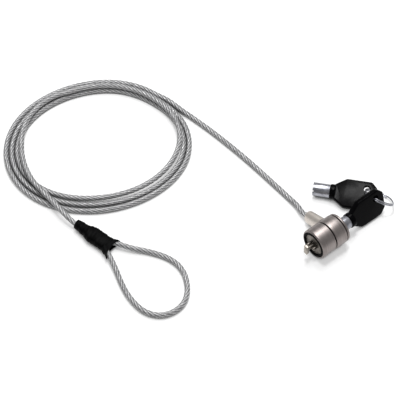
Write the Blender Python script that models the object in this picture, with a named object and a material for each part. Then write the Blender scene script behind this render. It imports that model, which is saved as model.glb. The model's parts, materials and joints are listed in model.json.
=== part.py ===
# Laptop cable lock: a swivelling lock head with a T-bar, two tubular keys on a split ring,
# and a coated wire rope that ends in a loop. Metres, +Z up. The lock lies on the floor at z = 0
# with its axis along Y: the T-bar points to -Y and the key to +Y.

from math import atan2, ceil, cos, pi, radians, sin, sqrt

import bmesh
import bpy
from mathutils import Matrix, Vector

# Lock head, along its axis from the front rim (y = 0)
HEAD_RADIUS = 0.0100
HOUSING_LENGTH = 0.0108
RIM_ROUNDING = 0.0012
FRONT_GROOVE = 0.0006
COLLAR_LENGTH = 0.0087
REAR_GROOVE = 0.0005
REAR_COLLAR_LENGTH = 0.0016
REAR_COLLAR_STEP = 0.0002
WASHER_RECESS = 0.0005
EDGE_BREAK = 0.00025

# Front end
RIM_WALL = 0.0010
FRONT_SEAT_DEPTH = 0.00175
FRONT_WEB = 0.00245
RING_WIDTH = 0.00155
RING_PROUD = 0.00035
RING_ROUNDING = 0.0003
PLATE_DEPTH = 0.0005
PLATE_THICKNESS = 0.0010
PRONG_RADIUS = 0.00095
PRONG_OFFSET = 0.00245
PRONG_REACH = 0.0026

# Spindle and T-bar
NECK_RADIUS = 0.0012
TBAR_REACH = 0.0066
TBAR_THICKNESS = 0.0020
TBAR_LENGTH = 0.0068
TBAR_WIDTH = 0.0029
JOURNAL_RADIUS = 0.0027
FLANGE_RADIUS = 0.0036
FLANGE_THICKNESS = 0.0008
SHAFT_INSET = 0.0017
TANG_LENGTH = 0.0020
TANG_SHARE = 1.18

# Core of the lock
SHELL_DEPTH = 0.0030
SLEEVE_WALL = 0.00165
STATOR_LENGTH = 0.0078
ROTOR_LENGTH = 0.0035
PIN_COUNT = 8
PIN_RADIUS = 0.0006
PIN_INSET = 0.0005
PIN_WELL_FLOOR = 0.0008
DRIVER_LENGTH = 0.00345
SPRING_WIRE = 0.00012
SPRING_TURNS = 3.0
KEY_CUTS = (0.0004, 0.0009, 0.0006, 0.0012, 0.0003, 0.0007, 0.0010, 0.0005)
DOWEL_RADIUS = 0.0007
STATOR_PIN_RADIUS = 0.0005
SNAP_RING_SECTION = 0.0010
SNAP_RING_THICKNESS = 0.0006
SNAP_RING_DEPTH = 0.0004
SNAP_RING_GAP = radians(40)

# Cable lug on the swivel collar
LUG_BASE_RADIUS = 0.0042
LUG_END_RADIUS = 0.0038
LUG_TALL = 1.18
LUG_RISE = 0.0005
LUG_LENGTH = 0.0125
LUG_DROOP = radians(15)
LUG_ROUNDING = 0.0009
LUG_BORE_DEPTH = 0.0080
FERRULE_WALL = 0.00075

# Tubular keys
KEY_STEP = 0.0008
KEY_WALL = 0.0011
KEY_BARREL_LENGTH = 0.0110
KEY_BORE_DEPTH = 0.0095
KEY_INSERTION = 0.0040
KEY_NECK_LENGTH = 0.0024
KEY_NECK_STEP = 0.0005
KEY_TANG_THICKNESS = 0.0016
KEY_TANG_LENGTH = 0.0090
BOW_LENGTH = 0.0276
BOW_WIDTH = 0.0196
BOW_THICKNESS = 0.0038
BOW_SHOULDER = 0.0072
BOW_CORNER = 0.0040
BOW_EDGE = 0.0006
BOW_HOLE_RADIUS = 0.0022
BOW_HOLE_FLARE = 0.0013
BOW_HOLE_FROM_END = 0.0068
BOW_HOLE_FROM_SIDE = 0.0050

# Split ring
RING_RADIUS = 0.0099
RING_WIRE = 0.00045
RING_TURN_GAP = 0.00014
RING_DROP = 0.0009
RING_LEAN = radians(12.5)
RING_CROSSING = radians(60)
RING_END_SPACE = radians(8)

# Spare key as it lies: where its tip is on the floor, its heading, pitch and roll
SPARE_TIP = Vector((-0.0368, 0.0334))
SPARE_HEADING = radians(38)
SPARE_PITCH = radians(2)
SPARE_ROLL = radians(18)

# Wire rope with its clear coat
CABLE_RADIUS = 0.00175
CABLE_END_GAP = 0.0003
ROUTE_STEP = 0.0100
LOOP_STEP = 0.0070
COIL_CENTRE = Vector((-0.1567, -0.0493))
COIL_RADIUS = 0.0585
COIL_TURN_GAP = 0.0002
COIL_SPREAD = 0.0013
COIL_SPREAD_HEADING = radians(-50)
COIL_SPREAD_POWER = 8
COIL_FLAT = 0.0018
COIL_FLAT_POWER = 24
COIL_OVAL = 0.0032
COIL_OVAL_HEADING = radians(71)
COIL_LAYER_GAP = 0.00048
COIL_START = radians(98)
COIL_TURNS_IN = 2.5
COIL_TURNS_CLIMB = 0.4
COIL_TURNS_OUT = 0.3
COIL_STEP_FROM = 0.80
COIL_STEP_TO = 1.00
COIL_POINTS = 24
# Routes on the floor: x, y, and how many layers of cable are underneath
LEAD_ROUTE = (
    (-0.0340, 0.0174, 0.163), (-0.0437, 0.0179, 0), (-0.0586, 0.0180, 0),
    (-0.0735, 0.0180, 0), (-0.0876, 0.0177, 0), (-0.1015, 0.0170, 0),
    (-0.1152, 0.0160, 0), (-0.1288, 0.0145, 0), (-0.1430, 0.0125, 0),
)
TAIL_ROUTE = (
    (-0.2026, -0.0731, 1), (-0.1945, -0.0837, 1), (-0.1850, -0.0914, 1),
    (-0.1753, -0.0972, 1), (-0.1657, -0.1009, 1), (-0.1554, -0.1031, 1),
    (-0.1465, -0.1033, 1), (-0.1379, -0.1033, 1), (-0.1294, -0.1033, 1),
    (-0.1233, -0.1033, 0.942), (-0.1172, -0.1029, 0.741),
)
LOOP_ROUTE = (
    (-0.0750, -0.0862, 0.239), (-0.0654, -0.0785, 0), (-0.0530, -0.0722, 0),
    (-0.0464, -0.0711, 0), (-0.0386, -0.0724, 0), (-0.0315, -0.0759, 0),
    (-0.0256, -0.0807, 0), (-0.0218, -0.0861, 0), (-0.0203, -0.0920, 0),
    (-0.0208, -0.0979, 0), (-0.0235, -0.1035, 0), (-0.0283, -0.1075, 0),
    (-0.0337, -0.1095, 0), (-0.0409, -0.1100, 0), (-0.0490, -0.1092, 0),
    (-0.0574, -0.1070, 0), (-0.0690, -0.1031, 0.138),
)

# Sleeve and crimp at the root of the loop: where the sleeve starts and which way it points
SLEEVE_START = Vector((-0.11115, -0.1017))
SLEEVE_HEADING = radians(18.8)
SLEEVE_LENGTH = 0.0315
SLEEVE_SKIN = 0.00095
SLEEVE_SPREAD = 0.0040
SLEEVE_FLARE = 0.0012
CRIMP_START = 0.0134
CRIMP_LENGTH = 0.0062
CRIMP_WALL = 0.00045
CRIMP_SPACING = 0.00445
LEG_BEND = 0.0007

# How far the lock body has rolled in its collar: the key leans by this much, the T-bar stands upright
KEY_LEAN = radians(18)

# Clearances
RUNNING_GAP = 0.00020
FIT_GAP = 0.00015
SEAT_GAP = 0.00025
FACE_GAP = 0.00010
FLOOR_GAP = 0.00010

# Facets
COARSE_STEPS = 32
FINE_STEPS = 20
PIN_STEPS = 8
RING_STEPS = 44
SPRING_STEPS = 6
SLEEVE_LEG_POINTS = 8

# Radii of the core and the keys, worked out from the head inwards
REAR_COLLAR_RADIUS = HEAD_RADIUS - REAR_COLLAR_STEP
SLEEVE_RADIUS = HEAD_RADIUS - SHELL_DEPTH
SLEEVE_BORE = SLEEVE_RADIUS - SLEEVE_WALL
HOUSING_BORE = SLEEVE_RADIUS + RUNNING_GAP
COLLAR_BORE = SLEEVE_RADIUS + RUNNING_GAP
ROTOR_RADIUS = SLEEVE_BORE - FIT_GAP
KEY_RADIUS = ROTOR_RADIUS - KEY_STEP
KEY_BORE = KEY_RADIUS - KEY_WALL
KEYWAY_RADIUS = KEY_RADIUS + RUNNING_GAP + FACE_GAP / 2
KEY_NECK_RADIUS = KEY_RADIUS + KEY_NECK_STEP
POST_RADIUS = KEY_BORE - RUNNING_GAP
PIN_CIRCLE = KEY_RADIUS - PIN_INSET
PIN_BORE = PIN_RADIUS + FIT_GAP
SHAFT_RADIUS = PIN_CIRCLE - SHAFT_INSET
BORE_CLEAR = SHAFT_RADIUS + SEAT_GAP
TANG_SIDE = SHAFT_RADIUS * TANG_SHARE
LUG_REACH = HEAD_RADIUS + LUG_LENGTH

# Places along the lock axis, worked out from the sizes above
AXIS_HEIGHT = HEAD_RADIUS
COLLAR_FRONT = HOUSING_LENGTH + FRONT_GROOVE
COLLAR_REAR = COLLAR_FRONT + COLLAR_LENGTH
COLLAR_MIDDLE = (COLLAR_FRONT + COLLAR_REAR) / 2
REAR_COLLAR_FRONT = COLLAR_REAR + REAR_GROOVE
HEAD_REAR = REAR_COLLAR_FRONT + REAR_COLLAR_LENGTH
KEY_TIP = HEAD_REAR - KEY_INSERTION
ROTOR_REAR = KEY_TIP - RUNNING_GAP
ROTOR_FRONT = ROTOR_REAR - ROTOR_LENGTH
STATOR_REAR = ROTOR_FRONT - FACE_GAP
STATOR_FRONT = STATOR_REAR - STATOR_LENGTH
SEAT_FLOOR = FRONT_SEAT_DEPTH
WEB_REAR = SEAT_FLOOR + FRONT_WEB
SLEEVE_FRONT = WEB_REAR + SEAT_GAP


# Scene helpers

def clear_scene():
    for item in list(bpy.data.objects):
        bpy.data.objects.remove(item, do_unlink=True)


def finish(name, colour, roughness, metallic):
    made = bpy.data.materials.new(name)
    made.use_nodes = True
    shader = made.node_tree.nodes["Principled BSDF"]
    shader.inputs["Base Color"].default_value = (*colour, 1.0)
    shader.inputs["Roughness"].default_value = roughness
    shader.inputs["Metallic"].default_value = metallic
    return made


def empty(name, parent=None, matrix=None):
    made = bpy.data.objects.new(name, None)
    made.empty_display_size = HEAD_RADIUS
    bpy.context.collection.objects.link(made)
    made.parent = parent
    if matrix is not None:
        made.matrix_local = matrix
    return made


def node(name, data, material, parent):
    made = bpy.data.objects.new(name, data)
    bpy.context.collection.objects.link(made)
    made.parent = parent
    data.materials.clear()
    data.materials.append(material)
    if isinstance(data, bpy.types.Mesh):
        data.shade_smooth()
        data.set_sharp_from_angle(angle=radians(35))
    return made


# Mesh helpers: every turned or bored shape has its axis along Y

def mesh_from(shape):
    bmesh.ops.remove_doubles(shape, verts=shape.verts, dist=1e-7)
    bmesh.ops.recalc_face_normals(shape, faces=shape.faces)
    mesh = bpy.data.meshes.new("shape")
    shape.to_mesh(mesh)
    shape.free()
    return mesh


def turned(profile, steps, closed=True, sweep=2 * pi):
    shape = bmesh.new()
    verts = [shape.verts.new((radius, along, 0)) for radius, along in profile]
    edges = [shape.edges.new(pair) for pair in zip(verts, verts[1:])]
    if closed:
        edges.append(shape.edges.new((verts[-1], verts[0])))
    whole = sweep > 1.99 * pi
    if not whole:
        cap = shape.faces.new(verts)
        verts.append(cap)
    bmesh.ops.spin(shape, geom=verts + edges, cent=(0, 0, 0), axis=(0, 1, 0), angle=sweep,
                   steps=steps, use_merge=whole)
    return mesh_from(shape)


def tube_profile(inner, outer, front, rear, edge=0.0):
    profile = [(inner, rear), (inner, front)]
    if edge:
        profile += [(outer - edge, front), (outer, front + edge), (outer, rear - edge), (outer - edge, rear)]
    else:
        profile += [(outer, front), (outer, rear)]
    return profile


def rod(radius, front, rear, steps, end_radius=None, rounding=0.0):
    far = radius if end_radius is None else end_radius
    profile = [(0, front), (radius, front)]
    if rounding:
        for share in (0.0, 0.35, 0.7, 1.0):
            turn = share * pi / 2
            profile.append((far - rounding * (1 - cos(turn)), rear - rounding * (1 - sin(turn))))
    else:
        profile.append((far, rear))
    profile.append((0, rear))
    return turned(profile, steps, closed=False)


def box(low, high):
    shape = bmesh.new()
    bmesh.ops.create_cube(shape, size=1.0)
    low, high = Vector(low), Vector(high)
    bmesh.ops.scale(shape, vec=high - low, verts=shape.verts)
    bmesh.ops.translate(shape, vec=(low + high) / 2, verts=shape.verts)
    return mesh_from(shape)


def plate(outline, thickness, edge=0.0):
    # A flat plate in the YZ plane, centred on x = 0, with its rims bevelled
    shape = bmesh.new()
    face = shape.faces.new([shape.verts.new((-thickness / 2, y, z)) for y, z in outline])
    grown = bmesh.ops.extrude_face_region(shape, geom=[face])
    moved = [item for item in grown["geom"] if isinstance(item, bmesh.types.BMVert)]
    bmesh.ops.translate(shape, vec=(thickness, 0, 0), verts=moved)
    bmesh.ops.recalc_face_normals(shape, faces=shape.faces)
    if edge:
        rims = [item for item in shape.edges
                if abs(item.verts[0].co.x - item.verts[1].co.x) < thickness / 2]
        bmesh.ops.bevel(shape, geom=rims, offset=edge, affect="EDGES", segments=1, profile=0.5,
                        material=-1)
    return mesh_from(shape)


def carve(mesh, tool, operation="DIFFERENCE"):
    # Cut, join or intersect one mesh with another, and give back the result as a plain mesh
    body = bpy.data.objects.new("body", mesh)
    cutter = bpy.data.objects.new("cutter", tool)
    cutter.hide_render = True
    cutter.display_type = "WIRE"
    for item in (body, cutter):
        bpy.context.collection.objects.link(item)
    step = body.modifiers.new("cut", "BOOLEAN")
    step.operation = operation
    step.solver = "EXACT"
    step.object = cutter
    seen = body.evaluated_get(bpy.context.evaluated_depsgraph_get())
    result = bpy.data.meshes.new_from_object(seen)
    for item in (body, cutter):
        bpy.data.objects.remove(item, do_unlink=True)
    return result


def placed(mesh, matrix):
    mesh.transform(matrix)
    return mesh


def along_axis(start, direction):
    # A frame whose Y axis follows a direction
    return Matrix.Translation(start) @ direction.to_track_quat("Y", "Z").to_matrix().to_4x4()


def round_y(angle):
    return Matrix.Rotation(angle, 4, "Y")


# Cords

def smooth_points(route, step):
    # Evenly spaced points on a smooth curve through the route's own points
    ends = [route[0] * 2 - route[1]] + list(route) + [route[-1] * 2 - route[-2]]
    fine = []
    pieces = 16
    for before, start, end, after in zip(ends, ends[1:], ends[2:], ends[3:]):
        for index in range(pieces):
            t = index / pieces
            fine.append(0.5 * (2 * start + (end - before) * t
                               + (2 * before - 5 * start + 4 * end - after) * t ** 2
                               + (3 * start - before - 3 * end + after) * t ** 3))
    fine.append(route[-1])
    reach = [0.0]
    for first, second in zip(fine, fine[1:]):
        reach.append(reach[-1] + (second - first).length)
    count = max(2, ceil(reach[-1] / step))
    points = []
    place = 0
    for index in range(count + 1):
        wanted = reach[-1] * index / count
        while place < len(reach) - 2 and reach[place + 1] < wanted:
            place += 1
        share = (wanted - reach[place]) / (reach[place + 1] - reach[place])
        points.append(fine[place].lerp(fine[place + 1], share))
    return points


def tube(name, points, radius, resolution):
    curve = bpy.data.curves.new(name, "CURVE")
    curve.dimensions = "3D"
    curve.bevel_depth = radius
    curve.bevel_resolution = resolution
    curve.use_fill_caps = True
    spline = curve.splines.new("POLY")
    spline.points.add(len(points) - 1)
    for slot, point in zip(spline.points, points):
        slot.co = (*point, 1.0)
    return curve


def tube_mesh(points, radius, resolution):
    item = bpy.data.objects.new("tube", tube("tube", points, radius, resolution))
    bpy.context.collection.objects.link(item)
    seen = item.evaluated_get(bpy.context.evaluated_depsgraph_get())
    shape = bmesh.new()
    shape.from_mesh(bpy.data.meshes.new_from_object(seen))
    bpy.data.objects.remove(item, do_unlink=True)
    return mesh_from(shape)


def least_gap(points, radius, apart):
    # Least distance between stretches of a wound tube that are not next to each other
    dense = []
    for first, second in zip(points, points[1:]):
        dense += [first.lerp(second, share / 4) for share in range(4)]
    least = min((a - b).length for index, a in enumerate(dense) for b in dense[index + apart * 4:])
    return least - 2 * radius


# Pieces of the lock head, modelled about their own axis

def front_housing():
    inner_rim = HEAD_RADIUS - RIM_WALL
    profile = [(HOUSING_BORE, HOUSING_LENGTH), (HOUSING_BORE, WEB_REAR),
               (JOURNAL_RADIUS + RUNNING_GAP, WEB_REAR), (JOURNAL_RADIUS + RUNNING_GAP, SEAT_FLOOR),
               (inner_rim, SEAT_FLOOR), (inner_rim, EDGE_BREAK), (inner_rim + EDGE_BREAK / 2, 0)]
    centre = HEAD_RADIUS - RIM_ROUNDING
    for share in (0.35, 0.7, 1.0):
        turn = share * pi / 2
        profile.append((centre + RIM_ROUNDING * sin(turn), RIM_ROUNDING * (1 - cos(turn))))
    profile += [(HEAD_RADIUS, HOUSING_LENGTH - EDGE_BREAK), (HEAD_RADIUS - EDGE_BREAK, HOUSING_LENGTH)]
    mesh = turned(profile, COARSE_STEPS)
    return carve(mesh, dowel(DOWEL_RADIUS + FIT_GAP, SLEEVE_BORE, HEAD_RADIUS + RIM_WALL))


def dowel_place():
    return (WEB_REAR + HOUSING_LENGTH) / 2


def dowel(radius, inner, outer):
    # Fixes the housing to the sleeve, on the underside of the head
    mesh = rod(radius, inner, outer, PIN_STEPS)
    return placed(mesh, along_axis(Vector((0, dowel_place(), 0)), Vector((0, 0, -1))))


def front_ring():
    outer = HEAD_RADIUS - RIM_WALL - FIT_GAP
    inner = outer - RING_WIDTH
    rear = SEAT_FLOOR - FIT_GAP
    front = -RING_PROUD
    profile = [(inner, rear), (inner, front + RING_ROUNDING), (inner + RING_ROUNDING, front),
               (outer - RING_ROUNDING, front), (outer, front + RING_ROUNDING), (outer, rear)]
    return turned(profile, COARSE_STEPS)


def front_plate():
    outer = HEAD_RADIUS - RIM_WALL - FIT_GAP - RING_WIDTH - FIT_GAP
    rear = PLATE_DEPTH + PLATE_THICKNESS
    mesh = rod(outer, rear, PLATE_DEPTH, COARSE_STEPS)
    for side in (-1, 1):
        prong = rod(PRONG_RADIUS, rear - PLATE_THICKNESS / 2, -PRONG_REACH, FINE_STEPS // 2,
                    rounding=0)
        mesh = carve(mesh, placed(prong, Matrix.Translation((side * PRONG_OFFSET, 0, 0))), "UNION")
    hole = rod(NECK_RADIUS + RUNNING_GAP, rear + PLATE_THICKNESS, PLATE_DEPTH - PLATE_THICKNESS, FINE_STEPS)
    return placed(carve(mesh, hole), round_y(KEY_LEAN))


def washer(front, rear, outer):
    middle = (front + rear) / 2
    half = (rear - front) / 4
    return turned(tube_profile(COLLAR_BORE, outer, middle - half, middle + half), COARSE_STEPS)


def swivel_collar():
    # The lug starts inside the wall of the ring, so it never reaches the bore
    profile = tube_profile(COLLAR_BORE, HEAD_RADIUS, COLLAR_FRONT, COLLAR_REAR, EDGE_BREAK)
    lug = rod(LUG_BASE_RADIUS, COLLAR_BORE + RUNNING_GAP, LUG_REACH, FINE_STEPS, LUG_END_RADIUS, LUG_ROUNDING)
    lug = placed(lug, lug_frame() @ Matrix.Diagonal((1, 1, LUG_TALL, 1)))
    mesh = carve(turned(profile, COARSE_STEPS), lug, "UNION")
    pocket = rod(CABLE_RADIUS + FIT_GAP + FERRULE_WALL + FIT_GAP, LUG_REACH - LUG_BORE_DEPTH,
                 LUG_REACH + LUG_BORE_DEPTH, FINE_STEPS)
    return carve(mesh, placed(pocket, lug_frame()))


def lug_direction():
    return Vector((-cos(LUG_DROOP), 0, -sin(LUG_DROOP)))


def lug_frame():
    return along_axis(Vector((0, COLLAR_MIDDLE, LUG_RISE)), lug_direction())


def cable_ferrule():
    inner = CABLE_RADIUS + FIT_GAP
    front = LUG_REACH - LUG_BORE_DEPTH + SEAT_GAP
    mesh = turned(tube_profile(inner, inner + FERRULE_WALL, front, LUG_REACH - SEAT_GAP), FINE_STEPS)
    return placed(mesh, lug_frame())


def snap_groove():
    middle = (REAR_COLLAR_FRONT + HEAD_REAR) / 2
    return middle - SNAP_RING_THICKNESS / 2, middle + SNAP_RING_THICKNESS / 2


def core_sleeve():
    front, rear = snap_groove()
    floor = SLEEVE_RADIUS - SNAP_RING_DEPTH - FIT_GAP
    profile = [(SLEEVE_BORE, SLEEVE_FRONT), (SLEEVE_RADIUS, SLEEVE_FRONT), (SLEEVE_RADIUS, front - FIT_GAP),
               (floor, front - FIT_GAP), (floor, rear + FIT_GAP), (SLEEVE_RADIUS, rear + FIT_GAP),
               (SLEEVE_RADIUS, HEAD_REAR), (KEYWAY_RADIUS, HEAD_REAR),
               (KEYWAY_RADIUS, ROTOR_REAR + SEAT_GAP), (SLEEVE_BORE, ROTOR_REAR + SEAT_GAP)]
    mesh = turned(profile, COARSE_STEPS)
    mesh = carve(mesh, dowel(DOWEL_RADIUS + FIT_GAP, SLEEVE_BORE - SLEEVE_WALL / 2, HEAD_RADIUS))
    return carve(mesh, stator_pin(STATOR_PIN_RADIUS + FIT_GAP, ROTOR_RADIUS - PIN_RADIUS, HEAD_RADIUS))


def snap_ring():
    front, rear = snap_groove()
    inner = SLEEVE_RADIUS - SNAP_RING_DEPTH
    mesh = turned(tube_profile(inner, inner + SNAP_RING_SECTION, front, rear), FINE_STEPS,
                  sweep=2 * pi - SNAP_RING_GAP)
    return placed(mesh, round_y(SNAP_RING_GAP))


def rear_collar():
    front, rear = snap_groove()
    bore = SLEEVE_RADIUS + RUNNING_GAP
    room = SLEEVE_RADIUS - SNAP_RING_DEPTH + SNAP_RING_SECTION + FIT_GAP
    edge = 2 * EDGE_BREAK
    profile = [(bore, HEAD_REAR), (bore, rear + FIT_GAP), (room, rear + FIT_GAP), (room, front - FIT_GAP),
               (bore, front - FIT_GAP), (bore, REAR_COLLAR_FRONT), (REAR_COLLAR_RADIUS, REAR_COLLAR_FRONT),
               (REAR_COLLAR_RADIUS, HEAD_REAR - edge), (REAR_COLLAR_RADIUS - edge / 3, HEAD_REAR - edge / 3),
               (REAR_COLLAR_RADIUS - edge, HEAD_REAR)]
    return turned(profile, COARSE_STEPS)


def stator_pin(radius, inner, outer):
    # Keys the stator to the sleeve, between two of the pin wells
    mesh = rod(radius, inner, outer, PIN_STEPS)
    turn = round_y(pi / PIN_COUNT)
    place = STATOR_FRONT + STATOR_LENGTH / 4
    return placed(mesh, Matrix.Translation((0, place, 0)) @ turn @ along_axis(Vector(), Vector((1, 0, 0))))


def pin_turn(index):
    return round_y(2 * pi * index / PIN_COUNT)


def pin_well(front, rear):
    return placed(rod(PIN_BORE, front, rear, PIN_STEPS), Matrix.Translation((PIN_CIRCLE, 0, 0)))


def stator():
    mesh = rod(ROTOR_RADIUS, STATOR_FRONT, STATOR_REAR, COARSE_STEPS)
    mesh = carve(mesh, rod(BORE_CLEAR, STATOR_FRONT - STATOR_LENGTH, STATOR_REAR + STATOR_LENGTH, FINE_STEPS))
    for index in range(PIN_COUNT):
        well = pin_well(STATOR_FRONT + PIN_WELL_FLOOR, STATOR_REAR + STATOR_LENGTH)
        mesh = carve(mesh, placed(well, pin_turn(index)))
    return carve(mesh, stator_pin(STATOR_PIN_RADIUS + FIT_GAP, ROTOR_RADIUS - 2 * PIN_RADIUS, HEAD_RADIUS))


def rotor():
    profile = [(0, ROTOR_FRONT), (ROTOR_RADIUS, ROTOR_FRONT), (ROTOR_RADIUS, ROTOR_REAR),
               (POST_RADIUS, ROTOR_REAR), (POST_RADIUS, HEAD_REAR - EDGE_BREAK),
               (POST_RADIUS - EDGE_BREAK, HEAD_REAR), (0, HEAD_REAR)]
    mesh = turned(profile, COARSE_STEPS, closed=False)
    for index in range(PIN_COUNT):
        well = pin_well(ROTOR_FRONT - ROTOR_LENGTH, ROTOR_REAR + ROTOR_LENGTH / 8)
        mesh = carve(mesh, placed(well, pin_turn(index)))
    half = TANG_SIDE / 2 + FIT_GAP
    return carve(mesh, box((-half, ROTOR_FRONT - ROTOR_LENGTH, -half),
                           (half, ROTOR_FRONT + TANG_LENGTH + FIT_GAP, half)))


def lock_spindle():
    flange_front = WEB_REAR + FACE_GAP
    flange_rear = flange_front + FLANGE_THICKNESS
    journal_front = PLATE_DEPTH + PLATE_THICKNESS + SEAT_GAP
    tbar_rear = TBAR_THICKNESS - TBAR_REACH
    profile = [(0, tbar_rear - TBAR_THICKNESS / 2), (NECK_RADIUS, tbar_rear - TBAR_THICKNESS / 2),
               (NECK_RADIUS, journal_front), (JOURNAL_RADIUS, journal_front),
               (JOURNAL_RADIUS, flange_front), (FLANGE_RADIUS, flange_front),
               (FLANGE_RADIUS, flange_rear), (SHAFT_RADIUS, flange_rear),
               (SHAFT_RADIUS, STATOR_REAR), (0, STATOR_REAR)]
    mesh = turned(profile, FINE_STEPS, closed=False)
    half_width, half_length = TBAR_WIDTH / 2, TBAR_LENGTH / 2
    outline = [(-TBAR_REACH, -half_length), (tbar_rear, -half_length), (tbar_rear, half_length),
               (-TBAR_REACH, half_length)]
    mesh = carve(mesh, placed(plate(outline, 2 * half_width, EDGE_BREAK), round_y(KEY_LEAN)), "UNION")
    half = TANG_SIDE / 2
    tang = box((-half, STATOR_REAR - TANG_LENGTH, -half), (half, ROTOR_FRONT + TANG_LENGTH, half))
    return carve(mesh, tang, "UNION")


def driver_pin():
    mesh = rod(PIN_RADIUS, STATOR_REAR - FACE_GAP / 2 - DRIVER_LENGTH, STATOR_REAR - FACE_GAP / 2, PIN_STEPS)
    return placed(mesh, Matrix.Translation((PIN_CIRCLE, 0, 0)))


def key_pin(cut):
    mesh = rod(PIN_RADIUS, ROTOR_FRONT + FACE_GAP / 2, KEY_TIP + cut - FACE_GAP, PIN_STEPS)
    return placed(mesh, Matrix.Translation((PIN_CIRCLE, 0, 0)))


def pin_spring():
    front = STATOR_FRONT + PIN_WELL_FLOOR + SPRING_WIRE + FACE_GAP
    rear = STATOR_REAR - FACE_GAP / 2 - DRIVER_LENGTH - SPRING_WIRE - FACE_GAP
    radius = PIN_RADIUS - SPRING_WIRE
    steps = round(SPRING_TURNS * SPRING_STEPS)
    points = []
    for index in range(steps + 1):
        angle = 2 * pi * index / SPRING_STEPS
        points.append(Vector((PIN_CIRCLE + radius * cos(angle), front + (rear - front) * index / steps,
                              radius * sin(angle))))
    return tube_mesh(points, SPRING_WIRE, 0)


# Keys, modelled along +Y from the barrel's tip, with the bow in the YZ plane

def key_barrel():
    profile = [(0, KEY_BORE_DEPTH), (KEY_BORE, KEY_BORE_DEPTH), (KEY_BORE, 0), (KEY_RADIUS - EDGE_BREAK, 0),
               (KEY_RADIUS, EDGE_BREAK), (KEY_RADIUS, KEY_BARREL_LENGTH), (0, KEY_BARREL_LENGTH)]
    mesh = turned(profile, FINE_STEPS + 8, closed=False)
    for index, depth in enumerate(KEY_CUTS):
        notch = rod(PIN_BORE, -KEY_WALL, depth, PIN_STEPS)
        notch = placed(notch, pin_turn(index) @ Matrix.Translation((PIN_CIRCLE, 0, 0)))
        mesh = carve(mesh, notch)
    tang = box((-KEY_TANG_THICKNESS / 2, KEY_BARREL_LENGTH - KEY_WALL, -KEY_BORE),
               (KEY_TANG_THICKNESS / 2, bow_start() + KEY_TANG_LENGTH, KEY_BORE))
    return carve(mesh, tang, "UNION")


def bow_start():
    return KEY_BARREL_LENGTH + KEY_NECK_LENGTH


def key_head():
    start, end = bow_start(), bow_start() + BOW_LENGTH
    half, root, corner = BOW_WIDTH / 2, KEY_NECK_RADIUS - FACE_GAP, BOW_CORNER
    upper = [(start, root), (start + BOW_SHOULDER, half), (end - corner, half), (end, half - corner)]
    outline = upper + [(y, -z) for y, z in reversed(upper)]
    mesh = plate(outline, BOW_THICKNESS, BOW_EDGE)
    neck = rod(KEY_NECK_RADIUS, KEY_BARREL_LENGTH + FIT_GAP, start + KEY_NECK_LENGTH / 2, FINE_STEPS,
               KEY_NECK_RADIUS - EDGE_BREAK)
    mesh = carve(mesh, neck, "UNION")
    slack = KEY_TANG_THICKNESS / 2 + FIT_GAP
    pocket = box((-slack, KEY_BARREL_LENGTH - KEY_NECK_LENGTH, -KEY_BORE - FIT_GAP),
                 (slack, start + KEY_TANG_LENGTH + FIT_GAP, KEY_BORE + FIT_GAP))
    mesh = carve(mesh, pocket)
    wide = BOW_HOLE_RADIUS + 2 * BOW_HOLE_FLARE
    waist = turned([(0, -BOW_THICKNESS), (wide + BOW_HOLE_FLARE, -BOW_THICKNESS),
                    (BOW_HOLE_RADIUS, -BOW_THICKNESS / 8), (BOW_HOLE_RADIUS, BOW_THICKNESS / 8),
                    (wide + BOW_HOLE_FLARE, BOW_THICKNESS), (0, BOW_THICKNESS)], FINE_STEPS - 8, closed=False)
    across = Matrix.Translation(hole_place()) @ along_axis(Vector(), Vector((1, 0, 0)))
    return carve(mesh, placed(waist, across))


def hole_place():
    return Vector((0, bow_start() + BOW_LENGTH - BOW_HOLE_FROM_END, BOW_WIDTH / 2 - BOW_HOLE_FROM_SIDE))


def lock_place():
    # The lock body has rolled in its collar, so the key stands a little off upright
    return Matrix.Translation((0, 0, AXIS_HEIGHT)) @ round_y(-KEY_LEAN)


def spare_frame():
    # The spare key lies with its tip on the floor and one side of its bow tipped down
    heading = Matrix.Rotation(SPARE_HEADING - pi / 2, 4, "Z")
    pitch = Matrix.Rotation(SPARE_PITCH, 4, "X")
    roll = Matrix.Rotation(pi / 2 - SPARE_ROLL, 4, "Y")
    height = KEY_RADIUS * cos(SPARE_PITCH) + 2 * FLOOR_GAP
    return Matrix.Translation((*SPARE_TIP, height)) @ heading @ pitch @ roll.inverted()


# Split ring: it hangs in the hole of the key in the lock and carries the spare key

def ring_frame(first, second):
    # Origin at the ring's centre, X towards the first hole, Z along the ring's own axis
    chord = second - first
    toward = chord.normalized()
    level = Vector((1, 0, 0))
    level = (level - level.dot(toward) * toward).normalized()
    rise = level.cross(toward).normalized()
    if rise.z < 0:
        rise = -rise
    away = cos(RING_LEAN) * level + sin(RING_LEAN) * rise
    centre = (first + second) / 2 + away * sqrt(RING_RADIUS ** 2 - (chord.length / 2) ** 2)
    out = (first - centre).normalized()
    axle = out.cross((second - centre).normalized()).normalized()
    turn = Matrix((out, axle.cross(out), axle)).transposed()
    return Matrix.Translation(centre) @ turn.to_4x4()


def ring_points(opening):
    # Two flat turns side by side, joined by a crossing opposite the keys
    offset = RING_WIRE + RING_TURN_GAP / 2
    start = opening + RING_CROSSING / 2 + RING_END_SPACE
    end = opening + 4 * pi - RING_CROSSING / 2 - RING_END_SPACE
    points = []
    for index in range(RING_STEPS + 1):
        angle = start + (end - start) * index / RING_STEPS
        share = (angle - (opening + 2 * pi)) / RING_CROSSING + 0.5
        share = min(max(share, 0.0), 1.0)
        side = offset * (2 * share * share * (3 - 2 * share) - 1)
        points.append(Vector((RING_RADIUS * cos(angle), RING_RADIUS * sin(angle), side)))
    return points


# Cable: the lead from the lug, the coil, the tail that crosses it, and the loop

def eased(value, low, high):
    share = min(max((value - low) / (high - low), 0.0), 1.0)
    return share * share * (3 - 2 * share)


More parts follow.
